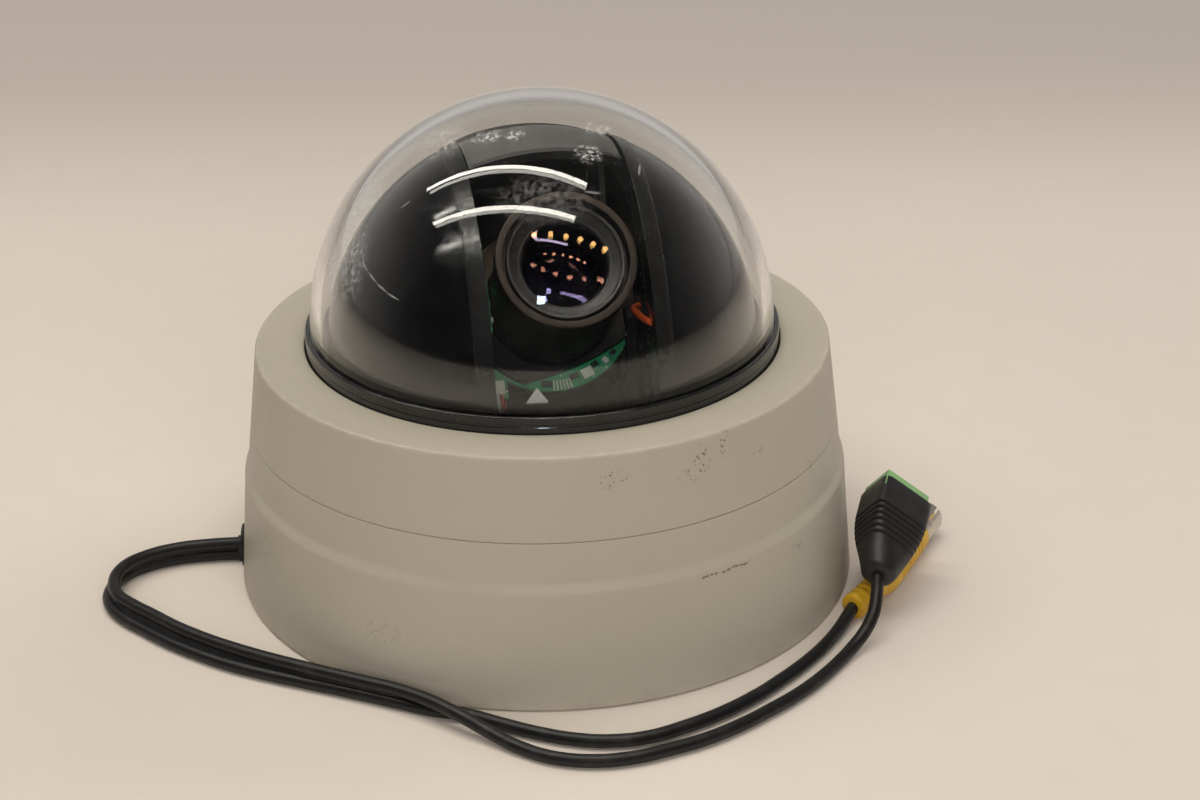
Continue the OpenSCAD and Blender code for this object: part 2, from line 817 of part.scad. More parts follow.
// radius of the lens mount's edge, which dips where it leaves the board bare
function mount_edge(a) =
    let (t = (a - lens_mount_bare[0]) / (lens_mount_bare[1] - lens_mount_bare[0]))
    lens_mount_r[1] - (t > 0 && t < 1 ? lens_mount_dip * pow(sin(180 * t), 0.7) : 0);

// moulded mount round the foot of the barrel
module lens_mount() {
    color([0.04, 0.04, 0.04]) in_head() difference() {
        intersection() {
            translate([0, 0, lens_mount_z[0]]) linear_extrude(lens_mount_z[1] - lens_mount_z[0])
                polygon([for (a = [0:4:356]) mount_edge(a) * [cos(a), sin(a)]]);
            block([-17.2, -25, 0], [17.2, 25, 20]);
        }
        translate([0, 0, 9]) cylinder(r = lens_mount_r[0], h = 5);
    }
}

module lens_barrel() {
    color([0.08, 0.08, 0.08]) in_head() difference() {
        union() {
            rod(14.6, 9.6, lens_reach - 3);
            rod(14.9, 9.6, 11.2);
        }
        translate([0, 0, 9]) cylinder(r = 13.2, h = 60);
    }
}

module lens_ring() {
    z = lens_reach;
    color([0.15, 0.14, 0.13]) in_head() rotate_extrude() polygon([
        [14.6, z - 5], [lens_ring_r, z - 5], [lens_ring_r, z - 0.4], [lens_ring_r - 0.4, z],
        [14.3, z], [13.9, z - 0.4], [13.9, z - 3], [14.6, z - 3]]);
}

module lens_bezel() {
    z = lens_reach;
    color([0.3, 0.3, 0.3]) in_head() rotate_extrude() polygon([
        [9.8, z - 4.5], [13.2, z - 4.5], [13.2, z - 1.7], [12.9, z - 1.4], [9.8, z - 2.6]]);
}

module front_lens() {
    z = lens_reach;
    color([0.1, 0.1, 0.2, 0.5]) in_head() rotate_extrude() polygon(concat(
        [[0, z - 6], [9.7, z - 6]], arc([0, z - 31.5], 30, 71.1, 90, 8)));
}

module guide_rods() {
    color("silver") in_head() for (s = [-1, 1])
        translate([s * screw_spot[0], -s * screw_spot[1], 0]) rod(0.8, 9.6, lens_reach - 4.5);
}

module lens_motors() {
    color("lightslategray") in_head() for (s = [-1, 1])
        translate([s * screw_spot[0], s * screw_spot[1], 0])
            tube(3.5, 0.95, -4.8, 8);
}

module tilt_gear() {
    color([0.08, 0.08, 0.08]) on_tilt_axis(tilt_gear_x) rotate([0, 0, 45]) difference() {
        gear(tilt_teeth, tilt_module, tilt_gear_t);
        translate([0, 0, -1]) cylinder(r = 3, h = 6);
        around([11, 0, 6]) translate([0, 0, -1]) cylinder(r = 3.4, h = 6);
    }
}

// curved cover over the slot behind the lens; it moves with the lens
module slot_shield() {
    color([0.2, 0.2, 0.2]) in_pan() translate([0, 0, tilt_z]) {
        difference() {
            intersection() {
                sphere(r = shield_r[1], $fn = 180);
                wedge(shield_from, shield_to, 17.4, 60);
            }
            sphere(r = shield_r[0], $fn = 180);
        }
        for (s = [-1, 1]) intersection() {
            translate([s * 16.65, 0, 0]) wedge(rest_tilt + 68, rest_tilt + 84, 0.75, 60);
            difference() {
                sphere(r = shield_r[0] + 0.3, $fn = 180);
                rotate([0, 90, 0]) translate([0, 0, -30]) cylinder(r = 17, h = 60);
            }
        }
    }
}

// ---------- moving lens groups ----------

// lens cell with two guide holes, one nut hole and one clearance hole
module lens_cell(z0, z1, nut_side) {
    difference() {
        rod(13, z0, z1);
        for (s = [-1, 1]) translate([s * screw_spot[0], -s * screw_spot[1], z0 - 1])
            cylinder(r = 0.86, h = z1 - z0 + 2);
        for (s = [-1, 1]) translate([s * screw_spot[0], s * screw_spot[1], z0 - 1])
            cylinder(r = s == nut_side ? 0.96 : 1.4, h = z1 - z0 + 2);
    }
}

module zoom_cell() {
    color([0.2, 0.2, 0.25]) in_head() lens_cell(27, 31, 1);
}

module focus_cell() {
    color([0.2, 0.2, 0.25]) in_head() lens_cell(13, 16.5, -1);
}

module zoom_screw() {
    color("silver") in_head() translate([screw_spot[0], screw_spot[1], 0]) rod(0.9, -2, 40);
}

module focus_screw() {
    color("silver") in_head() translate([-screw_spot[0], -screw_spot[1], 0]) rod(0.9, -2, 22);
}

base_plate();
housing_base();
housing_cover();
clamp_ring();
dome_cover();
dome_gasket();
dome_retainer();
housing_screws();
small_screws();
chassis_posts();
chassis_plate();
pan_hub();
bearing_inner();
bearing_balls();
main_board();
board_standoffs();
board_parts();
pan_motor();
slip_ring_stator();
cable_grommet();
power_cord();
video_cord();
power_adapter();
terminal_block();
terminal_screws();
video_plug_boot();
video_plug_shell();
video_plug_pin();
turntable();
pan_gear();
bearing_outer();
yoke_left();
yoke_right();
yoke_screws();
tilt_bushes();
liner_left();
liner_right();
liner_bridge();
rotor_board();
slip_ring_rotor();
tilt_motor();
pan_pinion();
tilt_pinion();
head_frame();
camera_block();
camera_board();
sensor_board();
lens_mount();
lens_barrel();
lens_ring();
lens_bezel();
front_lens();
guide_rods();
lens_motors();
tilt_gear();
slot_shield();
zoom_cell();
focus_cell();
zoom_screw();
focus_screw();
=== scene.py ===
"""Looks of a dome pan-tilt-zoom camera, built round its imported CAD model.

Lengths are given in millimetres in the row frame and turned into metres where
a mesh, a curve, a lamp or a texture is made. The pan unit's pieces are placed by
PAN and the shield by TILT, round the tilt axis. The head's other pieces are drawn
along the optical axis and placed by HEAD.
"""

from math import acos, asin, atan2, cos, pi, radians, sin, sqrt

import bmesh
import bpy
from mathutils import Matrix, Vector


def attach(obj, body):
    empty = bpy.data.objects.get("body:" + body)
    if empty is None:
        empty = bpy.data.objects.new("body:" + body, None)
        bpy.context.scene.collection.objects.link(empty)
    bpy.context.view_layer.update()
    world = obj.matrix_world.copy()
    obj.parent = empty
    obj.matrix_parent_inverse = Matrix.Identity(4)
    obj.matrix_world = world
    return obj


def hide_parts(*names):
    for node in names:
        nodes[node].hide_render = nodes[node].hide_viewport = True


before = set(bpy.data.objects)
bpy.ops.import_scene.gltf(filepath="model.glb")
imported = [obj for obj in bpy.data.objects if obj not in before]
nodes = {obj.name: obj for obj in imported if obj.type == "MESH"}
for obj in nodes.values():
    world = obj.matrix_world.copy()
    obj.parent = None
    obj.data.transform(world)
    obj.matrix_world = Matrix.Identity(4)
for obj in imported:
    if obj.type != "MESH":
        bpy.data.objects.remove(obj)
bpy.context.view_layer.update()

MM = 0.001

# ---------- dimensions

BASE_R = 75.0
SEAM_Z = 40.0
SEAM_LOW = 39.92
SEAM_HIGH = 40.06
STEP_LOW = 27.8
STEP_HIGH = 31.2
STEP_LOW_R = 72.8
STEP_HIGH_R = 71.7
HOUSING_H = 59.6
TOP_R = 68.4
OPENING_R = 56.7
WALL = 2.5
TILT_Z = 63.0
DOME_R = 55.2
DOME_WALL = 2.5
DOME_FOOT = 52.4
RING_R = 56.4
RING_TOP = 63.4
LINER_R = 51.6
LINER_Z = 57.7
LINER_WALL = 1.6
LINER_FOOT = 29.2
RAIL_R = 51.8
SLOT_HALF = 18.0
RAIL_HALF = 22.0
TURNTABLE_TOP = 31.0
SHIELD_R = 46.2
SHIELD_HALF = 17.4
LENS_REACH = 46.0
CORD_D = 3.0
REST_PAN = 9.0
REST_TILT = 39.0

PAN = Matrix.Rotation(radians(REST_PAN), 4, "Z")
TILT = PAN @ Matrix.Translation((0, 0, TILT_Z))
HEAD = TILT @ Matrix.Rotation(radians(90 - REST_TILT), 4, "X")

# Routes of the two sides of the lead, as in the CAD model.
VIDEO_ROUTE = [
    (-76.2, 0, 1.6), (-84, -0.6, 1.6), (-91.6, -2.1, 1.6), (-98.6, -5.5, 1.6),
    (-103.6, -10.6, 1.6), (-105.7, -17.4, 1.6), (-104.6, -24.6, 1.6), (-100.8, -30.8, 1.6),
    (-95.2, -36.4, 1.6), (-88.6, -42.6, 1.6), (-81.4, -48.2, 1.6), (-74.2, -53, 1.6),
    (-66, -57.4, 1.6), (-57.6, -61.2, 1.6), (-49.2, -64.8, 1.6), (-41, -68.4, 1.6),
    (-33.4, -72, 1.6), (-26, -75.4, 1.6), (-18.5, -77.6, 1.6), (-10.4, -82, 1.6),
    (-2.4, -86, 1.6), (5.6, -88.8, 1.6), (13.6, -89.7, 1.6), (21.4, -88.4, 1.6),
    (29.4, -84.6, 1.6), (37.4, -79.6, 1.6), (45, -73.4, 1.6), (52, -66.2, 1.6),
    (58.6, -58.4, 1.6), (64, -50.6, 1.6), (67.6, -44.4, 1.8), (71.8, -37, 3.4),
]
POWER_ROUTE = [
    (-76.2, 0, 4.7), (-84, -0.7, 4.7), (-91.4, -2.3, 4.7), (-98.2, -5.8, 4.7),
    (-102.8, -10.8, 4.7), (-104.4, -17.4, 4.7), (-103, -24.2, 4.6), (-98.8, -29.4, 4.5),
    (-93, -34.9, 4.5), (-86.8, -40.8, 4.5), (-80, -46.2, 4.5), (-72.8, -51.2, 4.6),
    (-64.8, -55.9, 4.6), (-56.6, -60.3, 4.7), (-48.6, -64.4, 4.8), (-40.8, -68.2, 4.8),
    (-33.2, -72, 4.8), (-26, -76.9, 4.7), (-19.4, -82.3, 4.1), (-13.2, -86.8, 2.6),
    (-6.4, -91.9, 1.7), (0.6, -95.8, 1.6), (8.6, -97.4, 1.6), (17, -96.6, 1.6),
    (25.4, -93.6, 1.6), (33.6, -89.8, 1.6), (41.4, -84.6, 1.6), (48.8, -78.4, 1.6),
    (55.6, -72, 1.6), (61.4, -65.2, 1.6), (66.4, -58.2, 1.6), (70, -53.2, 2.3),
    (73, -49.8, 4.2), (75.2, -46.8, 7), (76.3, -43.4, 9.6), (77.2, -38, 11.9),
]
JOINED_POINTS = 17  # the two sides are joined by a web as far as this point
ADAPTER_TAIL = Vector((77.2, -38, 11.9))
ADAPTER_HEAD = Vector((84.6, -13.7, 19.4))
ADAPTER_ROLL = 38.7
ADAPTER_W = 14.5
ADAPTER_T = 11.5
PLUG_FLANGE = Vector((71.8, -37, 3.4))
PLUG_START = Vector((78.6, -28.5, 4.4))
PLUG_END = Vector((95.7, 6.5, 4.4))


def upper_r(z):
    """Outer radius of the housing above its step."""
    return STEP_HIGH_R - (z - STEP_HIGH) * (STEP_HIGH_R - TOP_R) / (HOUSING_H - STEP_HIGH)


def lower_r(z):
    """Outer radius of the housing below its step."""
    return BASE_R - z * (BASE_R - STEP_LOW_R) / STEP_LOW


def add(name, data):
    """A new object in the scene."""
    made = bpy.data.objects.new(name, data)
    bpy.context.scene.collection.objects.link(made)
    return made


# ---------- camera

CAMERA_PLACE = (0, -548.31, 294.31)
CAMERA_TURN = (-1.417, 65.255, -0.625)  # about Z, then X, then the line of sight
CAMERA_LENS = 74.74

camera_data = bpy.data.cameras.new("camera")
camera_data.lens = CAMERA_LENS
camera_data.clip_start = 0.02
camera_data.clip_end = 20
camera = add("camera", camera_data)
yaw, pitch, roll = (radians(a) for a in CAMERA_TURN)
camera.matrix_world = (
    Matrix.Translation(Vector(CAMERA_PLACE) * MM)
    @ Matrix.Rotation(yaw, 4, "Z")
    @ Matrix.Rotation(pitch, 4, "X")
    @ Matrix.Rotation(roll, 4, "Z")
)
bpy.context.scene.camera = camera


# ---------- materials


class Surface:
    """A Principled material with textures in millimetres of the row frame."""

    def __init__(self, name, color, rough, metal=0.0, **fixed):
        self.material = bpy.data.materials.new(name)
        self.material.use_nodes = True
        self.tree = self.material.node_tree
        self.bsdf = self.tree.nodes["Principled BSDF"]
        fixed = {"Base_Color": (*color, 1), "Roughness": rough, "Metallic": metal, **fixed}
        for key, value in fixed.items():
            self.bsdf.inputs[key.replace("_", " ")].default_value = value
        sockets = {0: self.node("ShaderNodeTexCoord").outputs["Object"], "Scale": 1 / MM}
        self.mm = self.node("ShaderNodeVectorMath", sockets, operation="SCALE").outputs[0]

    def node(self, kind, sockets=None, **settings):
        """A node with its settings made, and its sockets linked or set."""
        n = self.tree.nodes.new(kind)
        for key, value in settings.items():
            setattr(n, key, value)
        for key, value in (sockets or {}).items():
            if isinstance(value, bpy.types.NodeSocket):
                self.tree.links.new(value, n.inputs[key])
            else:
                n.inputs[key].default_value = value
        return n

    def math(self, operation, a, b=0.0):
        return self.node("ShaderNodeMath", {0: a, 1: b}, operation=operation).outputs[0]

    def times(self, a, b):
        return self.math("MULTIPLY", a, b)

    def stretched(self, by, turn=(0, 0, 0)):
        """Texture coordinates turned and stretched."""
        sockets = {"Vector": self.mm, "Scale": by, "Rotation": [radians(a) for a in turn]}
        return self.node("ShaderNodeMapping", sockets).outputs[0]

    def noise(self, size, detail=2.0, where=None):
        """Smooth noise with lumps of about this size, from 0 to 1."""
        sockets = {"Vector": self.mm if where is None else where, "Scale": 1 / size, "Detail": detail}
        return self.node("ShaderNodeTexNoise", sockets).outputs["Fac"]

    def cells(self, size):
        """Distance to the nearest of scattered points this far apart."""
        sockets = {"Vector": self.mm, "Scale": 1 / size}
        return self.node("ShaderNodeTexVoronoi", sockets).outputs["Distance"]

    def band(self, value, low, high, to_low=0.0, to_high=1.0):
        """Smooth step of a value between low and high."""
        sockets = {"Value": value, "From Min": low, "From Max": high, "To Min": to_low, "To Max": to_high}
        return self.node("ShaderNodeMapRange", sockets, interpolation_type="SMOOTHSTEP").outputs["Result"]

    def spot(self, centre, reach, turn=(0, 0, 0)):
        """1 at a point of the part, falling to 0 at the reach along each axis."""
        sockets = {
            "Vector": self.mm, "Location": centre, "Rotation": [radians(a) for a in turn], "Scale": reach,
        }
        near = self.node("ShaderNodeMapping", sockets, vector_type="TEXTURE").outputs[0]
        fade = self.node("ShaderNodeTexGradient", {"Vector": near}, gradient_type="SPHERICAL")
        return fade.outputs["Fac"]

    def coordinate(self, axis):
        """One coordinate of the surface, in millimetres."""
        return self.node("ShaderNodeSeparateXYZ", {0: self.mm}).outputs[axis]

    def from_axis(self, radius):
        """Distance outside a cylinder round the part's axis, in millimetres."""
        flat = self.node("ShaderNodeVectorMath", {0: self.mm, 1: (1, 1, 0)}, operation="MULTIPLY")
        far = self.node("ShaderNodeVectorMath", {0: flat.outputs[0]}, operation="LENGTH")
        return self.math("SUBTRACT", far.outputs["Value"], radius)

    def mix_into(self, key, share, value):
        """Moves one of the shader's inputs towards a value where share is high."""
        socket = self.bsdf.inputs[key]
        color = key == "Base Color"
        kind, first, second, out = ("RGBA", 6, 7, 2) if color else ("FLOAT", 2, 3, 0)
        before = socket.links[0].from_socket if socket.is_linked else socket.default_value
        sockets = {first: before, 0: share, second: (*value, 1) if color else value}
        self.tree.links.new(self.node("ShaderNodeMix", sockets, data_type=kind).outputs[out], socket)

    def tint(self, share, color):
        self.mix_into("Base Color", share, color)

    def dull(self, share, rough):
        self.mix_into("Roughness", share, rough)

    def bump(self, height, depth):
        """Adds relief of this depth in millimetres."""
        n = self.node("ShaderNodeBump", {"Distance": depth * MM, "Height": height})
        self.tree.links.new(n.outputs[0], self.bsdf.inputs["Normal"])


def on_shell(angle, z):
    """A point on the housing's outer surface, in millimetres."""
    r = upper_r(z) if z > STEP_HIGH else lower_r(min(z, STEP_LOW))
    return (r * cos(radians(angle)), r * sin(radians(angle)), z)


def on_dome(azimuth, elevation):
    """A point on the dome's outer surface, in millimetres."""
    a, e = radians(azimuth), radians(elevation)
    return (
        DOME_R * cos(e) * cos(a),
        DOME_R * cos(e) * sin(a),
        TILT_Z + DOME_R * sin(e),
    )


def shell_paint():
    """Putty-coloured satin paint with a faint fleck, speckled rubs, patches darker towards the bottom, and
    a top edge lightened partly by wear and partly by a painted highlight.
    """
    s = Surface("shell_paint", (0.42, 0.385, 0.315), 0.42, Specular_IOR_Level=0.4)
    s.tint(s.band(s.noise(30, 3), 0.35, 0.7, 0, 0.3), (0.385, 0.355, 0.29))
    s.tint(s.band(s.noise(0.45, 2), 0.45, 0.75, 0, 0.16), (0.52, 0.48, 0.395))
    s.tint(s.band(s.noise(0.7, 2), 0.58, 0.75, 0, 0.16), (0.31, 0.285, 0.225))
    s.dull(s.band(s.noise(12, 4), 0.35, 0.7), 0.5)
    s.bump(s.noise(0.7, 3), 0.012)
    # the side turns darker in patches towards the bottom
    z = s.coordinate(2)
    low = s.times(s.band(z, 6, 0), s.band(s.noise(6, 4), 0.35, 0.75))
    s.tint(s.times(low, 0.35), (0.22, 0.2, 0.16))
    # rubs made of small dark specks: angle, height, reach, share
    speck = s.times(s.band(s.cells(0.75), 0.42, 0.27), s.band(s.noise(1.7, 3), 0.44, 0.56))
    for angle, height, reach, share in (
        (-78, 53.5, (4.5, 3, 2.6), 0.6), (-60, 54.5, (3.6, 3.6, 4), 0.95), (-55, 56.5, (2.6, 2.6, 4), 0.9),
        (-63, 51, (4, 4, 2.5), 0.5), (-30, 40.5, (3.5, 3.5, 3), 0.5), (-47, 51, (2, 2, 3), 0.5),
        (-38, 24, (3, 3, 3), 0.6), (-120, 15, (6, 5, 4), 0.25), (40, 30, (8, 8, 5), 0.6),
        (128, 45, (8, 8, 4), 0.6), (75, 12, (7, 7, 4), 0.5), (205, 22, (8, 8, 4), 0.5),
    ):
        near = s.band(s.spot(on_shell(angle, height), reach), 0.02, 0.4)
        s.tint(s.times(s.times(speck, near), share), (0.055, 0.055, 0.045))
    # a broken dark scratch just under the step
    broken = s.band(s.noise(0.7, 3), 0.4, 0.56)
    for k in range(9):
        angle = -61.5 + 1.1 * k
        dash = s.spot(on_shell(angle, 27.2 + 0.2 * sin(1.3 * k)), (1.5, 1.5, 0.36))
        s.tint(s.times(s.band(dash, 0.05, 0.6, 0, 0.8), broken), (0.06, 0.057, 0.05))
    # the paint is lighter along the top edge: partly wear, partly a painted highlight on the rounded edge
    wear_and_highlight = s.noise(3, 5, s.stretched((1, 1, 4)))
    high = s.band(z, 58.2, 59.2)
    from_edge = s.math("ABSOLUTE", s.from_axis(TOP_R))
    edge = s.times(high, s.band(from_edge, 1.4, 0.3))
    s.tint(s.times(s.band(wear_and_highlight, 0.4, 0.66, 0.05, 0.25), edge), (0.6, 0.56, 0.47))
    return s.material


def ring_black():
    s = Surface("ring_black", (0.012, 0.012, 0.013), 0.13, Coat_Weight=0.4, Coat_Roughness=0.06)
    s.tint(s.band(s.cells(1.6), 0.09, 0.03, 0, 0.5), (0.35, 0.34, 0.33))
    s.dull(s.band(s.noise(4, 4), 0.4, 0.75), 0.3)
    s.tint(s.band(s.noise(9, 5), 0.55, 0.8, 0, 0.25), (0.06, 0.06, 0.06))
    return s.material


def clear_dome():
    """Clear acrylic that lets lamps through, hazed and scratched in places."""
    s = Surface(
        "clear_dome", (0.985, 0.99, 0.985), 0.015, IOR=1.49, Transmission_Weight=1.0,
        Specular_Tint=(0.75, 0.75, 0.75, 1),
    )
    clear = s.node("ShaderNodeBsdfTransparent", {0: (0.93, 0.94, 0.935, 1)})
    shadow = s.node("ShaderNodeLightPath").outputs["Is Shadow Ray"]
    lit = s.node("ShaderNodeMixShader", {0: shadow, 1: s.bsdf.outputs[0], 2: clear.outputs[0]})
    haze = s.node("ShaderNodeBsdfDiffuse", {0: (0.78, 0.77, 0.76, 1)})

    def most(a, b):
        return s.math("MAXIMUM", a, b)

    share = s.band(s.noise(26, 3), 0.35, 0.75, 0.0, 0.006)
    # the fine wear of the surface shows at grazing angles
    rim = s.node("ShaderNodeLayerWeight", {"Blend": 0.5}).outputs["Facing"]
    share = most(share, s.band(rim, 0.72, 0.97, 0, 0.42))
    fine = s.band(s.cells(1.5), 0.09, 0.02, 0, 0.3)
    share = most(share, s.times(fine, s.band(s.noise(14, 3), 0.4, 0.62)))
    # rubbed, cloudy patches: azimuth, elevation, reach, strength
    cloud = s.noise(1.1, 8)
    wisp = s.noise(0.9, 6, s.stretched((1, 3.4, 1), (0, 0, 30)))
    for azimuth, elevation, reach, strength in (
        (-126, 69, (5, 3, 3), 0.65), (-107, 71, (3, 3, 2.5), 0.5), (-64, 63, (4, 4, 3), 0.55),
        (-44, 70, (5, 3.5, 3), 0.35), (-165, 40, (9, 10, 12), 0.2),
        (-154, 27, (8, 12, 16), 0.2), (-153, 63, (9, 9, 6), 0.2), (-20, 45, (8, 10, 10), 0.06),
        (-35, 12, (8, 12, 8), 0.06), (60, 50, (14, 14, 10), 0.05), (120, 30, (14, 14, 14), 0.05),
        (-88, 52, (14, 8, 8), 0.08),
    ):
        near = s.spot(on_dome(azimuth, elevation), reach)
        patch = s.times(s.band(near, 0, 0.6), s.band(cloud, 0.47, 0.64))
        patch = most(patch, s.times(s.band(near, 0, 0.5), s.band(wisp, 0.56, 0.66)))
        share = most(share, s.times(patch, strength))
    # single scratches: azimuth, elevation, half length, slope, share
    scratches = [(-144 + 4.4 * k, 28.1 - 1.9 * k + 0.17 * k * k, 2.5, 24 - 5 * k, 0.25) for k in range(4)]
    scratches += [
        (-140, 45, 2.2, -50, 0.2), (-70, 52, 2.6, 12, 0.2), (-45, 55, 3.0, -30, 0.25),
        (-30, 30, 2.4, 70, 0.15), (20, 40, 4.0, 20, 0.5), (95, 60, 4.0, -20, 0.5), (160, 50, 5.0, 45, 0.5),
    ]
    for azimuth, elevation, half, slope, strength in scratches:
        turn = (0, slope, azimuth + 90)
        line = s.spot(on_dome(azimuth, elevation), (half, 1.6, 0.28), turn)
        share = most(share, s.band(line, 0.02, 0.5, 0, strength))
    both = s.node("ShaderNodeMixShader", {0: share, 1: lit.outputs[0], 2: haze.outputs[0]})
    s.tree.links.new(both.outputs[0], s.tree.nodes["Material Output"].inputs["Surface"])
    return s.material


def liner_black():
    """Polished black plastic with a little dust."""
    s = Surface("liner_black", (0.0025, 0.0025, 0.003), 0.09)
    s.tint(s.band(s.cells(2.6), 0.05, 0.02, 0, 0.35), (0.4, 0.39, 0.37))
    s.tint(s.band(s.noise(16, 4), 0.5, 0.8, 0, 0.6), (0.008, 0.0075, 0.007))
    s.dull(s.band(s.noise(7, 4), 0.4, 0.8), 0.2)
    return s.material


def rail_grey():
    s = Surface("rail_grey", (0.006, 0.006, 0.0065), 0.2)
    s.tint(s.band(s.noise(9, 4), 0.45, 0.8, 0, 0.5), (0.013, 0.013, 0.0125))
    s.dull(s.band(s.noise(5, 3), 0.4, 0.8), 0.32)
    return s.material


def shield_grey():
    s = Surface("shield_grey", (0.042, 0.043, 0.041), 0.42)
    s.tint(s.band(s.noise(5, 4), 0.4, 0.75, 0, 0.5), (0.06, 0.061, 0.057))
    s.tint(s.band(s.cells(2.2), 0.07, 0.02, 0, 0.5), (0.4, 0.4, 0.37))
    s.bump(s.noise(0.6, 2), 0.02)
    return s.material


def plain_plastic(name, color, rough, grain=0.5, lift=1.6):
    """Moulded plastic with a fine grain and a little wear."""
    s = Surface(name, color, rough)
    lighter = tuple(min(1, c * lift + 0.004) for c in color)
    s.tint(s.band(s.noise(5, 4), 0.45, 0.8, 0, 0.5), lighter)
    s.dull(s.band(s.noise(3, 3), 0.4, 0.8), min(1, rough + 0.15))
    s.bump(s.noise(grain, 2), 0.015)
    return s.material


def dusty_black():
    """Matt black with scattered grains of dust."""
    s = Surface("dusty_black", (0.004, 0.004, 0.0045), 0.55)
    s.tint(s.band(s.noise(6, 4), 0.45, 0.8, 0, 0.5), (0.01, 0.01, 0.011))
    grain = s.times(s.band(s.cells(1.9), 0.1, 0.06), s.band(s.noise(5, 2), 0.45, 0.6))
    s.tint(s.times(grain, 0.6), (0.5, 0.52, 0.5))
    s.dull(s.band(s.noise(3, 3), 0.4, 0.8), 0.7)
    s.bump(s.noise(0.4, 2), 0.015)
    return s.material


def metal(name, color, rough, stretch=(1, 1, 1)):
    """Bare or plated metal with fine tool marks."""
    s = Surface(name, color, rough, 1.0)
    marks = s.noise(0.5, 4, s.stretched(stretch))
    s.dull(s.band(marks, 0.35, 0.7), min(1, rough + 0.2))
    s.tint(s.band(s.noise(3, 4), 0.5, 0.8, 0, 0.4), tuple(0.7 * c for c in color))
    s.bump(marks, 0.006)
    return s.material


def board_green():
    s = Surface("board_green", (0.012, 0.15, 0.065), 0.28)
    tracks = s.band(s.cells(1.7), 0.28, 0.34)
    s.tint(s.times(tracks, 0.5), (0.03, 0.26, 0.12))
    s.tint(s.band(s.cells(2.3), 0.11, 0.09, 0, 0.9), (0.62, 0.6, 0.5))
    s.bump(tracks, 0.03)
    return s.material


def cord_black():
    s = Surface("cord_black", (0.009, 0.009, 0.01), 0.38, Specular_IOR_Level=0.35)
    s.tint(s.band(s.noise(4, 4), 0.5, 0.8, 0, 0.5), (0.035, 0.034, 0.034))
    s.dull(s.band(s.noise(2.4, 4), 0.4, 0.8), 0.48)
    s.bump(s.noise(0.6, 2), 0.02)
    return s.material


def plug_yellow():
    s = Surface("plug_yellow", (0.62, 0.36, 0.018), 0.42)
    s.tint(s.band(s.noise(4, 4), 0.4, 0.75, 0, 0.55), (0.44, 0.24, 0.01))
    s.tint(s.band(s.noise(1.2, 3), 0.62, 0.8, 0, 0.5), (0.2, 0.13, 0.02))
    s.bump(s.noise(0.7, 3), 0.03)
    return s.material


def lens_glass():
    s = Surface(
        "lens_glass", (0.45, 0.46, 0.6), 0.02, IOR=1.6, Transmission_Weight=1.0,
        Specular_Tint=(0.75, 0.6, 1.0, 1),
    )
    return s.material


def coated_glass():
    """A coated element deeper in the lens."""
    s = Surface(
        "coated_glass", (0.012, 0.006, 0.04), 0.06, Coat_Weight=0.5, Coat_Roughness=0.03,
        Coat_Tint=(0.6, 0.45, 1.0, 1),
    )
    return s.material


def floor_paper():
    """Pale table top, darker behind the object as painted shade of the backdrop's crease."""
    s = Surface("floor_paper", (0.70, 0.63, 0.56), 0.75)
    s.tint(s.band(s.noise(120, 3), 0.3, 0.8, 0, 0.5), (0.72, 0.655, 0.59))
    s.tint(s.band(s.noise(14, 4), 0.35, 0.8, 0, 0.25), (0.66, 0.595, 0.53))
    # painted shade: darker from 200 to 420 mm behind the object and beyond, in place of the shaded crease
    # where the backdrop sweeps up
    s.tint(s.band(s.coordinate(1), 200, 420), (0.52, 0.47, 0.425))
    s.bump(s.noise(0.8, 4), 0.02)
    return s.material


M = {
    "shell": shell_paint(),
    "ring": ring_black(),
    "dome": clear_dome(),
    "liner": liner_black(),
    "rail": rail_grey(),
    "shield": shield_grey(),
    "black": plain_plastic("black_plastic", (0.014, 0.014, 0.015), 0.36),
    "matt": dusty_black(),
    "adapter": plain_plastic("adapter_black", (0.013, 0.013, 0.014), 0.42, 0.7),
    "white": plain_plastic("white_plastic", (0.7, 0.69, 0.64), 0.45, lift=1.1),
    "pale": plain_plastic("pale_nylon", (0.42, 0.45, 0.4), 0.4, lift=1.15),
    "orange": plain_plastic("wire_orange", (0.4, 0.06, 0.012), 0.4, lift=1.2),
    "wire_red": plain_plastic("wire_red", (0.35, 0.03, 0.015), 0.4, lift=1.2),
    "green": plain_plastic("terminal_green", (0.235, 0.42, 0.185), 0.45, lift=1.15),
    "gear": plain_plastic("gear_white", (0.72, 0.7, 0.62), 0.4, lift=1.08),
    "acetal": plain_plastic("acetal_black", (0.007, 0.007, 0.008), 0.45),
    "rubber": plain_plastic("seal_rubber", (0.013, 0.013, 0.013), 0.6),
    "cord": cord_black(),
    "yellow": plug_yellow(),
    "board": board_green(),
    "glass": lens_glass(),
    "coated": coated_glass(),
    "bezel": plain_plastic("bezel_grey", (0.007, 0.007, 0.0075), 0.52),
    "lens_ring": metal("lens_ring_metal", (0.035, 0.031, 0.03), 0.42),
    "steel": metal("plated_steel", (0.62, 0.61, 0.58), 0.28),
    "nickel": metal("plug_nickel", (0.66, 0.63, 0.57), 0.24),
    "gold": metal("gold_contact", (0.78, 0.56, 0.22), 0.25),
    "brass": metal("brass_part", (0.66, 0.47, 0.18), 0.3),
    "can": metal("motor_can", (0.5, 0.51, 0.52), 0.35),
    "plate": metal("plate_metal", (0.55, 0.56, 0.56), 0.42, (1, 8, 1)),
}

# ---------- mesh helpers


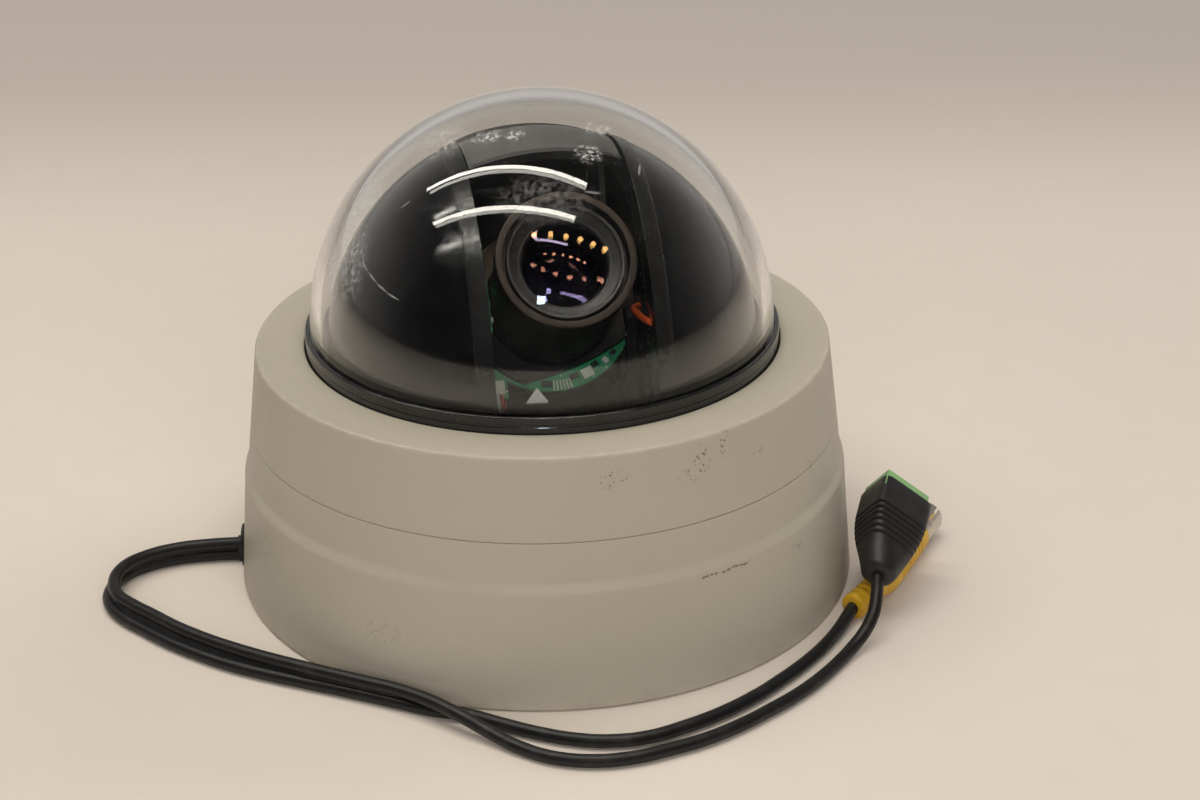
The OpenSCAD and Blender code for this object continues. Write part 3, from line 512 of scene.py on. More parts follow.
def finish_mesh(name, points, faces, material, place=None, sharp=32, loose=False):
    """An object in the row frame, from points in millimetres."""
    mesh = bpy.data.meshes.new(name)
    place = place or Matrix.Identity(4)
    mesh.from_pydata([(place @ Vector(p)) * MM for p in points], [], faces)
    tidy = bmesh.new()
    tidy.from_mesh(mesh)
    if not loose:
        bmesh.ops.remove_doubles(tidy, verts=tidy.verts, dist=1e-7)
    bmesh.ops.recalc_face_normals(tidy, faces=tidy.faces)
    tidy.to_mesh(mesh)
    tidy.free()
    return show_mesh(name, mesh, material, sharp)


def smooth(mesh, sharp):
    """Smooth shading, with sharp edges above this angle in degrees."""
    for p in mesh.polygons:
        p.use_smooth = True
    mesh.set_sharp_from_angle(angle=radians(sharp))


def show_mesh(name, mesh, material, sharp):
    """An object from a mesh in metres, in one material."""
    smooth(mesh, sharp)
    mesh.materials.clear()
    mesh.materials.append(material)
    return add(name, mesh)


def rounded(outline, closed=True, steps=4):
    """An outline whose corners (x, y, radius) are replaced with arcs."""
    made = []
    count = len(outline)
    for i, (x, y, r) in enumerate(outline):
        here = Vector((x, y))
        if r <= 0 or (not closed and i in (0, count - 1)):
            made.append((x, y))
            continue
        back = Vector(outline[i - 1][:2]) - here
        ahead = Vector(outline[(i + 1) % count][:2]) - here
        angle = back.angle(ahead)
        cut = min(r / max(1e-6, sin(angle / 2) / cos(angle / 2)), 0.49 * min(back.length, ahead.length))
        a = here + back.normalized() * cut
        b = here + ahead.normalized() * cut
        for k in range(steps + 1):
            t = k / steps
            made.append(tuple((1 - t) ** 2 * a + 2 * t * (1 - t) * here + t * t * b))
    return made


def lathe(name, outline, material, place=None, turns=192, sharp=32):
    """A closed outline of (radius, height) turned round the Z axis."""
    points, rows = [], []
    for r, z in outline:
        if r < 1e-6:
            rows.append([len(points)] * turns)
            points.append((0, 0, z))
        else:
            rows.append([len(points) + k for k in range(turns)])
            points += [
                (r * cos(2 * pi * k / turns), r * sin(2 * pi * k / turns), z)
                for k in range(turns)
            ]
    faces = []
    for a, b in zip(rows, rows[1:] + rows[:1]):
        for k in range(turns):
            quad = [a[k], a[(k + 1) % turns], b[(k + 1) % turns], b[k]]
            corner = list(dict.fromkeys(quad))
            if len(corner) > 2:
                faces.append(corner)
    return finish_mesh(name, points, faces, material, place, sharp)


def box(name, low, high, material, place=None, bevel=0.2):
    """A box with rounded edges."""
    made = bmesh.new()
    bmesh.ops.create_cube(made, size=1)
    size = Vector(high) - Vector(low)
    middle = (Vector(high) + Vector(low)) / 2
    for v in made.verts:
        v.co = Vector((v.co.x * size.x, v.co.y * size.y, v.co.z * size.z)) + middle
    if bevel > 0:
        bmesh.ops.bevel(
            made, geom=made.edges[:], offset=min(bevel, 0.45 * min(size)), segments=2,
            profile=0.5, affect="EDGES",
        )
    place = place or Matrix.Identity(4)
    for v in made.verts:
        v.co = (place @ v.co) * MM
    mesh = bpy.data.meshes.new(name)
    made.to_mesh(mesh)
    made.free()
    return show_mesh(name, mesh, material, 40)


def strip(i, j, count, spans):
    """Faces from ring i to ring j, where each ring has this many points."""
    faces = []
    for k in range(spans):
        ahead = (k + 1) % count
        faces.append([i * count + k, i * count + ahead, j * count + ahead, j * count + k])
    return faces


def loft(name, rings, material, place=None, sharp=40):
    """A closed skin over rings of equally many points, with flat ends."""
    count = len(rings[0])
    points = [p for ring in rings for p in ring]
    faces = []
    for i in range(len(rings) - 1):
        faces += strip(i, i + 1, count, count)
    faces.append(list(range(count))[::-1])
    faces.append([(len(rings) - 1) * count + k for k in range(count)])
    return finish_mesh(name, points, faces, material, place, sharp, loose=True)


def squircle(width, height, power, z):
    """A ring between an ellipse (power 2) and a rectangle (high power)."""
    count = 96
    ring = []
    for k in range(count):
        a = 2 * pi * (k + 0.5) / count
        c, s = cos(a), sin(a)
        r = (abs(c) ** power + abs(s) ** power) ** (-1 / power)
        ring.append((width / 2 * r * c, height / 2 * r * s, z))
    return ring


def joined(name, *pieces):
    """One object from several of the same material."""
    mesh = bmesh.new()
    for p in pieces:
        mesh.from_mesh(p.data)
    made = bpy.data.meshes.new(name)
    mesh.to_mesh(made)
    mesh.free()
    material = pieces[0].data.materials[0]
    for p in pieces:
        bpy.data.objects.remove(p)
    return show_mesh(name, made, material, 40)


def carved(piece, *cutters):
    """Cuts other objects out of a piece and removes them."""
    for c in cutters:
        m = piece.modifiers.new("cut", "BOOLEAN")
        m.operation = "DIFFERENCE"
        m.solver = "EXACT"
        m.object = c
    bpy.context.view_layer.update()
    seen = piece.evaluated_get(bpy.context.evaluated_depsgraph_get())
    mesh = bpy.data.meshes.new_from_object(seen)
    piece.modifiers.clear()
    piece.data = mesh
    for c in cutters:
        bpy.data.objects.remove(c)
    smooth(mesh, 32)
    return piece


def along(start, end):
    """A frame at start whose Z axis points to end."""
    d = end - start
    return (
        Matrix.Translation(start)
        @ Matrix.Rotation(atan2(d.y, d.x), 4, "Z")
        @ Matrix.Rotation(acos(d.z / d.length), 4, "Y")
    )


def curve_tube(name, route, radius, material):
    """A round cord through the points of a route."""
    data = bpy.data.curves.new(name, "CURVE")
    data.dimensions = "3D"
    data.bevel_depth = radius * MM
    data.bevel_resolution = 5
    data.resolution_u = 6
    data.use_fill_caps = True
    spline = data.splines.new("BEZIER")
    spline.bezier_points.add(len(route) - 1)
    for point, place in zip(spline.bezier_points, route):
        point.co = Vector(place) * MM
        point.handle_left_type = "AUTO"
        point.handle_right_type = "AUTO"
    data.materials.append(material)
    return add(name, data)


def keep(piece, body, slot, *stands_for):
    """Makes a piece move with a body and stand for CAD nodes; its finish name (slot) is not used."""
    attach(piece, body)
    if stands_for:
        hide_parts(*stands_for)


# ---------- the lead


def make_web():
    """The thin strip that joins the two sides of the lead."""
    pairs = list(zip(VIDEO_ROUTE, POWER_ROUTE))[:JOINED_POINTS]
    fine = []
    for (a, b), (c, d) in zip(pairs, pairs[1:]):
        a, b, c, d = (Vector(p) for p in (a, b, c, d))
        fine += [(a.lerp(c, k / 3), b.lerp(d, k / 3)) for k in range(3)]
    fine.append(tuple(Vector(p) for p in pairs[-1]))
    rings = []
    for i, (low, high) in enumerate(fine):
        ahead = fine[min(i + 1, len(fine) - 1)][0] - fine[max(i - 1, 0)][0]
        side = ahead.cross(high - low).normalized() * 0.45
        bottom = low.lerp(high, 0.2)
        top = low.lerp(high, 0.8)
        rings.append([bottom - side, bottom + side, top + side, top - side])
    return loft("lead_web", rings, M["cord"], sharp=60)


def adapter_frame():
    return along(ADAPTER_TAIL, ADAPTER_HEAD) @ Matrix.Rotation(
        radians(ADAPTER_ROLL - 90), 4, "Z"
    )


def make_adapter():
    """The moulded body: a round tail, ribs that widen, and a square head."""
    place = adapter_frame()
    long = (ADAPTER_HEAD - ADAPTER_TAIL).length
    tail, ribs_from, ribs_to, rib_count = 7.4, 8.4, 18.6, 6

    def section(z, inset=0.0):
        t = min(1, max(0, (z - 0.5) / (ribs_to - 0.5)))
        grow = sin(t * pi / 2) ** 0.8
        w = tail + (ADAPTER_W - tail) * grow - 2 * inset
        h = tail + (ADAPTER_T - tail) * grow - 2 * inset
        return squircle(w, h, 2.2 + 9 * max(0, t - 0.2) ** 1.5, z)

    rings = [section(0, 2.0), section(0.05, 1.2), section(0.4, 0.4)]
    z = 1.0
    while z < ribs_from - 0.4:
        rings.append(section(z))
        z += 0.7
    pitch = (ribs_to - ribs_from) / rib_count
    for k in range(rib_count):
        start = ribs_from + k * pitch
        for share, inset in (
            (0, 0), (0.06, 0.3), (0.14, 0.55), (0.3, 0.6), (0.42, 0.5), (0.5, 0.2), (0.58, 0),
        ):
            rings.append(section(start + share * pitch, inset))
    rings += [section(z) for z in (ribs_to + 0.2, long - 4, long - 0.5)]
    rings += [section(long - 0.15, 0.1), section(long, 0.35)]
    body = loft("adapter_body", rings, M["adapter"], place, 28)
    recess = box("recess", (-6.9, -5.35, long - 3.2), (5.9, 4.35, long + 1), M["adapter"], place, 0)
    return carved(body, recess)


def make_terminal():
    """The green terminal strip in the adapter's end, and the clamps in its wire entries."""
    place = adapter_frame()
    long = (ADAPTER_HEAD - ADAPTER_TAIL).length
    entries = (-3.6, 2.6)
    strip_low, strip_high = (-6.75, -5.2, long - 3), (5.75, 4.2, long + 2.15)
    terminal = box("terminal_strip", strip_low, strip_high, M["green"], place, 0.25)
    holes = [
        lathe("hole", [(0, 0), (1.7, 0), (1.7, 5), (0, 5)], M["green"],
              place @ Matrix.Translation((x, -0.6, long - 1.6)), 32)
        for x in entries
    ]
    carved(terminal, *holes)
    clamps = [
        box("clamp", (x - 1.4, -2.0, long - 2.4), (x + 1.4, 0.8, long - 1.4), M["steel"], place, 0.1)
        for x in entries
    ]
    return terminal, joined("terminal_clamps", *clamps)


def make_plug():
    """The video plug: ribbed yellow sleeve, slotted shell, insulator and pin."""
    neck = along(PLUG_FLANGE, PLUG_START)
    neck_long = (PLUG_START - PLUG_FLANGE).length
    outline = [(0, -0.2, 0), (2.2, -0.2, 0.2), (3.2, 0.1, 0.5), (3.2, 1.6, 0.4)]
    for k in range(3):
        z = 2.2 + 2.3 * k
        outline += [(2.5, z, 0.2), (2.5, z + 0.9, 0.2), (3.1, z + 1.1, 0.3), (3.1, z + 2.0, 0.3)]
    outline += [(2.9, neck_long + 0.6, 0.2), (0, neck_long + 1.2, 0)]
    boot = lathe("boot", rounded(outline, False), M["yellow"], neck, 64)
    place = along(PLUG_START, PLUG_END)
    end = (PLUG_END - PLUG_START).length
    body = [(0, -1.2, 0), (2.4, -1.0, 0.4), (3.3, 0.6, 0.8), (3.8, 2.4, 0.8), (4.2, 4.2, 1.0)]
    for k in range(7):
        z = 7 + 2.4 * k
        body += [(4.25, z, 0.2), (3.95, z + 0.3, 0.15), (3.95, z + 0.9, 0.15), (4.25, z + 1.2, 0.2)]
    body += [(4.25, 27.4, 0.5), (4.0, 28.2, 0.3), (3.6, 28.2, 0), (0, 28.2, 0)]
    sleeve = lathe("sleeve", rounded(body, False), M["yellow"], place, 96)
    sleeve = joined("plug_sleeve", boot, sleeve)
    shell = lathe(
        "plug_shell",
        rounded([(3.45, 27.9, 0), (4.0, 27.9, 0.1), (4.0, 29.6, 0.1), (3.9, 29.9, 0.1),
                 (4.05, 31.5, 0.3), (4.15, end - 0.5, 0.2), (3.95, end, 0.1), (3.65, end, 0.1)]),
        M["nickel"], place, 96,
    )
    slots = [
        box(f"slot_{k}", (-0.35, 2.5, 31.5), (0.35, 5, end + 1), M["nickel"],
            place @ Matrix.Rotation(k * pi / 2 + pi / 4, 4, "Z"), 0)
        for k in range(4)
    ]
    shell = carved(shell, *slots)
    core = lathe(
        "plug_core", rounded([(0, 27.9, 0), (3.4, 27.9, 0.1), (3.4, 29.6, 0.3), (0, 29.6, 0)], False),
        M["white"], place, 64,
    )
    pin = lathe(
        "plug_pin",
        rounded([(0, 29, 0), (1.55, 29, 0), (1.6, end + 1.6, 0.4), (0.9, end + 2.8, 0.5),
                 (0, end + 3, 0)], False),
        M["gold"], place, 48,
    )
    return sleeve, shell, core, pin


def make_grommet():
    """The strain relief in the housing's cable notch, flush with the wall."""
    blocks = []
    # flange, lead sleeve, neck and inner flange: half width, heights, corner radii, x from and to
    for half, foot, top, low_r, high_r, *ends in (
        (3.9, 0.2, 9.2, 0.8, 3.4, -75.3, -74.5), (1.75, 0.05, 6.4, 1.5, 1.5, -76.4, -75.2),
        (3.55, 0.2, 9.5, 0.3, 3.4, -74.8, -71.0), (4.6, 0.2, 9.8, 0.8, 3.4, -71.2, -69.6),
    ):
        outline = rounded(
            [(-half, foot, low_r), (half, foot, low_r), (half, top, high_r), (-half, top, high_r)], steps=8
        )
        blocks.append(loft("block", [[(x, y, z) for y, z in outline] for x in ends], M["rubber"]))
    return joined("grommet", *blocks)


lead_video = curve_tube("lead_video", VIDEO_ROUTE, CORD_D / 2, M["cord"])
lead_power = curve_tube("lead_power", POWER_ROUTE, CORD_D / 2, M["cord"])
web = make_web()
adapter = make_adapter()
terminal, clamps = make_terminal()
sleeve, plug_shell, plug_core, plug_pin = make_plug()
grommet = make_grommet()
keep(lead_video, "housing", "cord_black", "video_cord")
keep(lead_power, "housing", "cord_black", "power_cord")
keep(web, "housing", "cord_black")
keep(adapter, "housing", "adapter_black", "power_adapter")
keep(terminal, "housing", "terminal_green", "terminal_block")
keep(clamps, "housing", "screw_steel", "terminal_screws")
keep(sleeve, "housing", "plug_yellow", "video_plug_boot")
keep(plug_shell, "housing", "plug_metal", "video_plug_shell")
keep(plug_core, "housing", "plug_metal")
keep(plug_pin, "housing", "plug_metal", "video_plug_pin")
keep(grommet, "housing", "seal_rubber", "cable_grommet")

# ---------- the housing


def soft_step():
    """Points of the shell's outline across its soft step."""
    count = 14
    made = []
    for k in range(count + 1):
        t = k / count
        s = t * t * (3 - 2 * t)
        r = STEP_LOW_R + (STEP_HIGH_R - STEP_LOW_R) * s
        made.append((r, STEP_LOW + (STEP_HIGH - STEP_LOW) * t, 0))
    return made


def make_lower_shell():
    outline = [(72.6, 0, 0.2), (74.4, 0, 0.2), (75, 0.6, 0.4)]
    outline += soft_step()
    outline += [
        (upper_r(39.3), 39.3, 0), (upper_r(SEAM_Z), SEAM_LOW, 0.12), (upper_r(SEAM_Z) - WALL, SEAM_LOW, 0),
        (STEP_HIGH_R - WALL, STEP_HIGH, 0), (STEP_LOW_R - WALL, STEP_LOW, 0),
    ]
    shell = lathe("lower_shell", rounded(outline), M["shell"], turns=256)
    notch = box("notch", (-80, -3.6, -1), (-66, 3.6, 6), M["shell"], bevel=0)
    arch = lathe(
        "arch", [(0, 0), (3.6, 0), (3.6, 14), (0, 14)], M["shell"],
        Matrix.Translation((-80, 0, 6)) @ Matrix.Rotation(pi / 2, 4, "Y"), 48,
    )
    return carved(shell, notch, arch)


def make_upper_shell():
    under = HOUSING_H - WALL
    outline = [
        (upper_r(SEAM_Z), SEAM_HIGH, 0.14), (upper_r(41), 41, 0), (TOP_R + 0.1, HOUSING_H - 1.4, 0),
        (TOP_R, HOUSING_H, 0.9), (OPENING_R, HOUSING_H, 0.45), (OPENING_R, under, 0),
        (TOP_R - WALL, under, 0.5), (upper_r(44) - WALL, 44, 0), (65.9, 44, 0), (65.9, 37, 0.2),
        (68, 37, 0.2), (68, SEAM_HIGH, 0),
    ]
    return lathe("upper_shell", rounded(outline), M["shell"], turns=256)


def make_collar():
    outline = [
        (55.5, 54.9, 0), (59.5, 54.9, 0.1), (59.5, 57, 0.1), (RING_R, 57.05, 0.1),
        (RING_R, 60.9, 0.15), (RING_R - 0.12, 61.1, 0.1), (RING_R - 0.12, 61.5, 0.1),
        (RING_R, 61.7, 0.1), (RING_R, RING_TOP, 0.4), (55.3, RING_TOP, 0.3),
    ]
    return lathe("collar", rounded(outline), M["ring"], turns=256)


def make_dome():
    """Clear dome: the bubble, its short straight skirt and its flange."""

    def arc(r, angles):
        return [(r * cos(radians(a)), TILT_Z + r * sin(radians(a))) for a in angles]

    inner_r = DOME_R - DOME_WALL
    foot = [(inner_r, DOME_FOOT), (59, DOME_FOOT), (59, 54.8), (DOME_R, 54.8)]
    bubble = arc(DOME_R, range(0, 91, 2)) + arc(inner_r, range(90, -1, -2))
    return lathe("dome", foot + bubble, M["dome"], turns=256)


keep(make_lower_shell(), "housing", "shell_paint", "housing_base")
keep(make_upper_shell(), "housing", "shell_paint", "housing_cover")
keep(make_collar(), "housing", "ring_black", "clamp_ring")
keep(make_dome(), "housing", "clear_dome", "dome_cover")

# ---------- the pan unit


def arch_points(r, x, spread, foot):
    """The liner's cross-section at x: a half circle on two upright legs."""
    half = sqrt(max(0, r * r - x * x))
    made = [(x, -half, foot + (LINER_Z - foot) * k / 4) for k in range(4)]
    made += [
        (x, -half * cos(pi * k / spread), LINER_Z + half * sin(pi * k / spread))
        for k in range(spread + 1)
    ]
    made += [(x, half, LINER_Z - (LINER_Z - foot) * k / 4) for k in range(1, 5)]
    return made


def cheek(side):
    """One glossy half shell beside the slot, with the wall along its edge."""
    steps, spread = 40, 96
    stop = pi / 2 - 0.002
    skins = []
    for r in (LINER_R, LINER_R - LINER_WALL):
        start = asin(SLOT_HALF / r)
        skins.append([
            arch_points(r, r * sin(start + (stop - start) * k / steps), spread, LINER_FOOT)
            for k in range(steps + 1)
        ])
    outer, inner = skins
    rows = outer + inner[::-1]
    points = [(side * x, y, z) for row in rows for x, y, z in row]
    count, total = len(rows[0]), len(rows)
    faces = []
    for i in range(total):
        faces += strip(i, (i + 1) % total, count, count - 1)
    for i in range(steps):
        j = total - 1 - i
        for k in (0, count - 1):
            faces.append([i * count + k, (i + 1) * count + k, (j - 1) * count + k, j * count + k])
    name = "cheek_right" if side > 0 else "cheek_left"
    return finish_mesh(name, points, faces, M["liner"], PAN)


def rail(side):
    """The raised strip along the slot, with the wall that drops from its edge."""
    outline = rounded(
        [(SLOT_HALF, 0, 0.35), (RAIL_HALF, 0, 0.5), (RAIL_HALF, 1.4, 0), (SLOT_HALF + 1.3, 1.4, 0.3),
         (SLOT_HALF + 1.3, 7.5, 0.3), (SLOT_HALF, 7.5, 0.2)], steps=3)
    rings = []
    for x, depth in outline:
        r = RAIL_R - depth
        lower = sqrt(max(0.01, 1 - (x / r) ** 2))
        rings.append([
            (side * x, y * lower, z if z <= LINER_Z else LINER_Z + (z - LINER_Z) * lower)
            for _, y, z in arch_points(r, 0, 120, TURNTABLE_TOP + 0.2)
        ])
    count = len(rings[0])
    points = [p for ring in rings for p in ring]
    faces = []
    for i in range(len(rings)):
        faces += strip(i, (i + 1) % len(rings), count, count - 1)
    for k in (0, count - 1):
        faces.append([i * count + k for i in range(len(rings))])
    name = "rail_right" if side > 0 else "rail_left"
    return finish_mesh(name, points, faces, M["rail"], PAN, 28)


def ball_patch(name, radius, start, stop, wall, material, steps=48):
    """A strip of a ball over the slot between two angles above the front, with thickness."""
    across = 28
    points, skins = [], []
    for r in (radius, radius - wall):
        grid = []
        for i in range(steps + 1):
            a = radians(start + (stop - start) * i / steps)
            grid.append(range(len(points), len(points) + across + 1))
            for k in range(across + 1):
                x = SHIELD_HALF * (2 * k / across - 1)
                h = sqrt(r * r - x * x)
                points.append((x, -h * cos(a), h * sin(a)))
        skins.append(grid)
    top, under = skins
    faces = []
    for grid, order in ((top, 1), (under, -1)):
        for low, high in zip(grid, grid[1:]):
            faces += [[low[k], low[k + 1], high[k + 1], high[k]][::order] for k in range(across)]
    rim = [(0, k) for k in range(across)] + [(i, across) for i in range(steps)]
    rim += [(steps, k) for k in range(across, 0, -1)] + [(i, 0) for i in range(steps, 0, -1)]
    for (i, k), (j, m) in zip(rim, rim[1:] + rim[:1]):
        faces.append([top[i][k], top[j][m], under[j][m], under[i][k]])
    return finish_mesh(name, points, faces, material, TILT, 40)


for side, name in ((-1, "left"), (1, "right")):
    keep(cheek(side), "rotor", "liner_black", f"liner_{name}")
    keep(rail(side), "rotor", "liner_black")

# ---------- the head


def shield_arm(side):
    """A wedge-shaped plate that carries the shield beside the camera block."""
    corners = []
    for r, angles in ((17.5, (82, 70)), (42.1, (68.8, 83.2))):
        for a in angles:
            t = radians(REST_TILT + a)
            corners.append((-r * cos(t), r * sin(t), 0.8))
    outline = rounded(corners)
    rings = [[(side * x, y, z) for y, z in outline] for x in (15.95, 17.35)]
    return loft("arm", rings, M["shield"], TILT)


def make_shield():
    """Grey band over the slot with its two arms, and its black front lip."""
    band = ball_patch("band", SHIELD_R, REST_TILT + 38.6, REST_TILT + 100, 1.2, M["shield"])
    lip = ball_patch("shield_lip", SHIELD_R + 0.35, REST_TILT + 37.4, REST_TILT + 39.4, 2.0, M["matt"], 4)
    return joined("shield", band, shield_arm(-1), shield_arm(1)), lip


def head_lathe(name, outline, material, turns=128, sharp=32):
    """A turned piece on the optical axis."""
    return lathe(name, outline, material, HEAD, turns, sharp)


def make_lens():
    """Barrel, rings and glasses, measured from the front of the lens."""
    z = LENS_REACH
    barrel = head_lathe(
        "barrel",
        rounded([(13.2, 9.6, 0), (14.9, 9.6, 0.1), (14.9, 11.2, 0.2), (14.6, 11.4, 0.1),
                 (14.6, 16, 0.1), (14.3, 16.2, 0.1), (14.3, 16.8, 0.1), (14.6, 17, 0.1),
                 (14.6, z - 3, 0.1), (13.2, z - 3, 0.1)]),
        M["matt"],
    )
    ring = head_lathe(
        "lens_outer_ring",
        rounded([(14.65, z - 5, 0.1), (15.6, z - 5, 0.2), (15.65, z, 0.35), (13.9, z, 0.35),
                 (13.9, z - 3, 0), (14.65, z - 3, 0)]),
        M["lens_ring"], 160,
    )
    bezel = head_lathe(
        "lens_face",
        rounded([(9.75, z - 4.5, 0), (13.1, z - 4.5, 0), (13.1, z - 0.9, 0.3), (12.4, z - 1.1, 0.2),
                 (12.1, z - 1.7, 0.1), (10.4, z - 2.9, 0.15), (10.2, z - 2.9, 0.1), (9.75, z - 3.4, 0.1)]),
        M["bezel"], 160, 25,
    )
    front = [(0, z - 5.2), (9.7, z - 5.2), (9.7, z - 3.2)]
    bow = 30  # radius of the front glass's curve
    crown = [
        (bow * cos(radians(a)), z - 1.6 - bow + bow * sin(radians(a)))
        for a in (71.3, 74, 77, 80, 83, 86.5)
    ]
    glass = head_lathe("front_glass", front + crown + [(0, z - 1.6)], M["glass"], 128, 50)
    crown = [(7.8 * sin(radians(a)), z - 14.4 + 2.3 * cos(radians(a))) for a in range(90, 0, -10)]
    second = head_lathe(
        "second_glass", [(0, z - 15), (7.8, z - 15)] + crown + [(0, z - 12.1)], M["coated"], 96, 50
    )
    ribs = [(13.15, z - 4.6), (13.15, z - 8.5)]
    for k in range(4):
        r = 8.3 + 0.3 * k
        depth = z - 8.4 + 0.95 * k
        ribs += [(r, depth), (r, depth + 0.7), (r + 0.2, depth + 0.95)]
    tunnel = head_lathe("lens_baffle", ribs, M["matt"], 96, 25)
    return barrel, ring, bezel, glass, second, tunnel


def make_board_details():
    """What is seen on the bare edge of the camera board and beside the barrel."""
    face = 9.55
    parts = {"pale": [], "black": []}

    def on_board(angle, r):
        turned = Matrix.Rotation(radians(angle), 4, "Z")
        return HEAD @ turned @ Matrix.Translation((r, 0, face))

    for angle, r, (wide, deep, high), finish in (
        (-66, 18.2, (2.4, 2.8, 1.3), "pale"), (-49, 18.4, (1.6, 1.3, 0.9), "pale"),
        (-57, 17.4, (1.3, 1.6, 0.7), "black"), (-76, 17.6, (1.4, 2.2, 0.8), "black"),
        (-97, 18.6, (1.5, 2.6, 0.9), "black"), (-41, 18.6, (1.2, 1.6, 0.7), "black"),
    ):
        low, top = (-wide / 2, -deep / 2, 0), (wide / 2, deep / 2, high)
        parts[finish].append(box("part", low, top, M[finish], on_board(angle, r), 0.12))
    for k in range(6):
        place = on_board(-92 + 2.4 * k, 19)
        parts["pale"].append(box("pin", (-1.3, -0.22, 0), (1.1, 0.22, 0.5), M["pale"], place, 0.08))
    connectors = joined("board_connectors", *parts["pale"])
    chips = joined("board_chips", *parts["black"])
    tongue = box("tongue", (-16.9, -20.9, 8.1), (-11.4, -12.6, 9.5), M["board"], HEAD, 0.15)
    side = box("side", (-17.2, -9, 12.7), (-15.3, 3.2, 25), M["board"], HEAD, 0.2)
    small_boards = joined("side_boards", tongue, side)
    plug = box("socket", (-15.9, -20.3, 9.4), (-12.3, -17, 11.6), M["pale"], HEAD, 0.2)
    bits = [
        box("bit", (-15.35, y, z), (-14.9, y + 1.3, z + 1.8), M["pale"], HEAD, 0.1)
        for y, z in ((-6.8, 23), (-4.6, 16), (-2.2, 21), (0.6, 18))
    ]
    sockets = joined("small_sockets", plug, *bits)
    tab = loft(
        "white_tab",
        [[(x, y, z) for x, y in rounded([(-7.7, -22.5, 0.2), (-2.3, -22.7, 0.2), (-4.7, -19, 0.2)])]
         for z in (8.4, 9.7)],
        M["white"], HEAD,
    )
    return connectors, chips, small_boards, sockets, tab


def make_head_wires():
    """Three thin wires from the small socket back under the board."""
    made = []
    for k, finish in enumerate(("cord", "pale", "wire_red")):
        x = -15.1 + k
        route = [(x, -19.8, 10.6), (x, -21.8, 10.2), (x + 0.4, -22.9, 7.4), (x + 1.2, -21.4, 3),
                 (x + 2.5, -16.5, -1)]
        made.append(curve_tube(f"head_wire_{k}", [HEAD @ Vector(p) for p in route], 0.38, M[finish]))
    return made


def make_slot_wire():
    """A short orange wire that runs forward along the slot's right wall."""
    route = [(18.3, -24.5, 74.9), (16.9, -26.5, 75.3), (16.6, -30, 75.8), (16.9, -34, 76.3),
             (17.5, -37.5, 76.7), (18.3, -39.5, 76.9)]
    return curve_tube("slot_wire", [PAN @ Vector(p) for p in route], 0.8, M["orange"])


shield, shield_lip = make_shield()
barrel, lens_ring, bezel, front_glass, second_glass, baffle = make_lens()
keep(shield, "head", "shield_grey", "slot_shield")
keep(shield_lip, "head", "black_plastic")
keep(barrel, "head", "black_plastic", "lens_barrel")
keep(lens_ring, "head", "lens_ring_metal", "lens_ring")
keep(bezel, "head", "bezel_grey", "lens_bezel")
keep(front_glass, "head", "lens_glass", "front_lens")
keep(second_glass, "zoom_group", "lens_glass")
keep(baffle, "head", "black_plastic")
board_connectors, board_chips, side_boards, small_sockets, white_tab = make_board_details()
keep(board_connectors, "head", "gear_white")
keep(board_chips, "head", "black_plastic")
keep(side_boards, "head", "board_green")
keep(small_sockets, "head", "gear_white")
keep(white_tab, "head", "gear_white")
for wire in make_head_wires():
    keep(wire, "head", "cord_black")
keep(make_slot_wire(), "rotor", "plug_yellow")

# ---------- CAD nodes that stay

FINISHES = {
    "plate": ["base_plate", "chassis_posts", "chassis_plate", "pan_hub"],
    "rubber": ["dome_gasket"],
    "matt": ["lens_mount", "camera_block", "head_frame"],
    "black": ["dome_retainer", "slip_ring_stator", "slip_ring_rotor", "board_parts", "turntable",
              "yoke_left", "yoke_right", "liner_bridge", "zoom_cell", "focus_cell"],
    "steel": ["housing_screws", "small_screws", "yoke_screws", "bearing_inner", "bearing_outer",
              "bearing_balls", "guide_rods", "zoom_screw", "focus_screw"],
    "board": ["main_board", "rotor_board", "camera_board", "sensor_board"],
    "brass": ["board_standoffs", "tilt_bushes", "pan_pinion", "tilt_pinion"],
    "can": ["pan_motor", "tilt_motor", "lens_motors"],
    "gear": ["pan_gear"],
    "acetal": ["tilt_gear"],
}
for finish, names in FINISHES.items():
    for n in names:
        mesh = nodes[n].data
        mesh.materials.clear()
        mesh.materials.append(M[finish])

# ---------- floor and light

floor_mesh = bpy.data.meshes.new("floor")
floor_mesh.from_pydata([(-4, -4, 0), (4, -4, 0), (4, 4, 0), (-4, 4, 0)], [], [(0, 1, 2, 3)])
floor_mesh.materials.append(floor_paper())
floor = add("floor", floor_mesh)


def area_lamp(name, size, watts, color, stand):
    """A rectangular lamp, its size in millimetres, that shines down its frame's Z axis."""
    data = bpy.data.lights.new(name, "AREA")
    data.shape = "RECTANGLE"
    data.size, data.size_y = (side * MM for side in size)
    data.energy = watts
    data.color = color
    made = add(name, data)
    made.matrix_world = stand
    return made


def lamp(name, place, target, size, watts, color, lights=True, mirrored=True):
    """A lamp that faces a point, and lights matt surfaces, shows in glossy ones, or both."""
    place, target = Vector(place), Vector(target)
    turn = (target - place).to_track_quat("-Z", "Y").to_matrix().to_4x4()
    made = area_lamp(name, size, watts, color, Matrix.Translation(place * MM) @ turn)
    made.visible_diffuse = lights
    made.visible_glossy = mirrored
    made.visible_transmission = mirrored


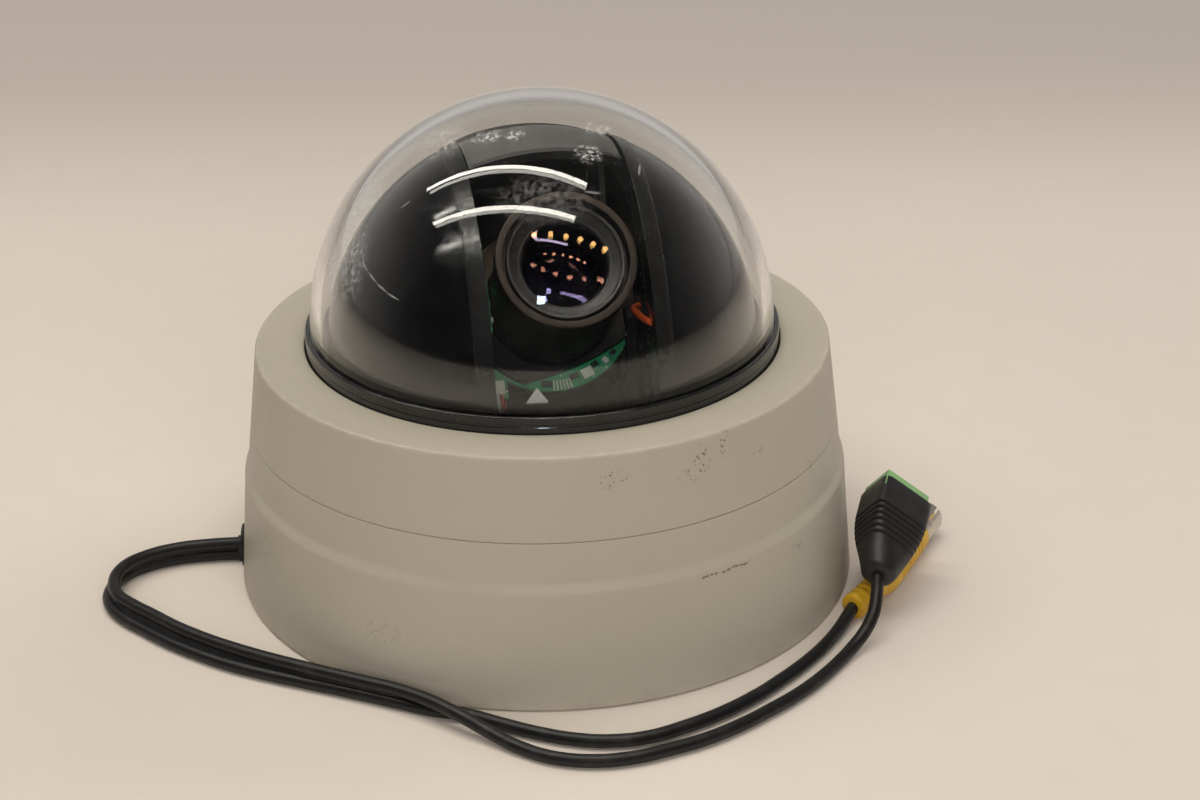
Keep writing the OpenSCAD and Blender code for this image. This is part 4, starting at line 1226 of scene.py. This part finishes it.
def tube_lamp(name, a, b, watts):
    """A long lamp overhead between two points, facing down."""
    a, b = Vector(a), Vector(b)
    turn = Matrix.Rotation(atan2((b - a).y, (b - a).x), 4, "Z")
    stand = Matrix.Translation((a + b) / 2 * MM) @ turn
    area_lamp(name, ((b - a).length, 60), watts, (1.0, 0.95, 0.86), stand)


tube_lamp("tube_back", (-1350, 655, 1500), (480, 65, 1500), 10.5)
tube_lamp("tube_front", (-1440, -40, 1500), (400, -450, 1500), 10.5)
lamp("fill", (150, -1500, 750), (0, 0, 60), (1400, 900), 15, (1.0, 0.965, 0.92), mirrored=False)
lamp("wash", (1500, 1000, 1200), (350, 350, 0), (1200, 1200), 11, (1.0, 0.97, 0.95), mirrored=False)
lamp("spark", (-7, -812, 566), (0, -49, 88), (64, 64), 0.4, (0.75, 0.87, 1.0), lights=False)
for k in range(6):
    a = radians(-3.3 + 8.6 * k - 0.23 * k * k)
    place = (815 * sin(a), -430, 98 + 815 * cos(a))
    lamp(f"bulb_{k}", place, (0, 0, 80), (34, 34), 0.12, (1, 0.5, 0.16), lights=False)


def make_world():
    """A room that is bright behind the object and dim in front and overhead."""
    world = bpy.data.worlds.new("studio")
    bpy.context.scene.world = world
    world.use_nodes = True
    tree = world.node_tree
    back = tree.nodes["Background"]
    where = tree.nodes.new("ShaderNodeTexCoord")
    part = tree.nodes.new("ShaderNodeSeparateXYZ")
    tree.links.new(where.outputs["Generated"], part.inputs[0])
    shares = []
    for axis, low, high, to_low, to_high in ((1, -0.4, 0.85, 0.04, 1.0), (2, 0.1, 0.75, 1.0, 0.16)):
        n = tree.nodes.new("ShaderNodeMapRange")
        n.interpolation_type = "SMOOTHSTEP"
        tree.links.new(part.outputs[axis], n.inputs["Value"])
        for key, value in zip(("From Min", "From Max", "To Min", "To Max"), (low, high, to_low, to_high)):
            n.inputs[key].default_value = value
        shares.append(n.outputs["Result"])
    both = tree.nodes.new("ShaderNodeMath")
    both.operation = "MULTIPLY"
    tree.links.new(shares[0], both.inputs[0])
    tree.links.new(shares[1], both.inputs[1])
    tree.links.new(both.outputs[0], back.inputs[1])
    back.inputs[0].default_value = (0.5, 0.475, 0.45, 1)


make_world()
bpy.context.scene.view_settings.view_transform = "Standard"
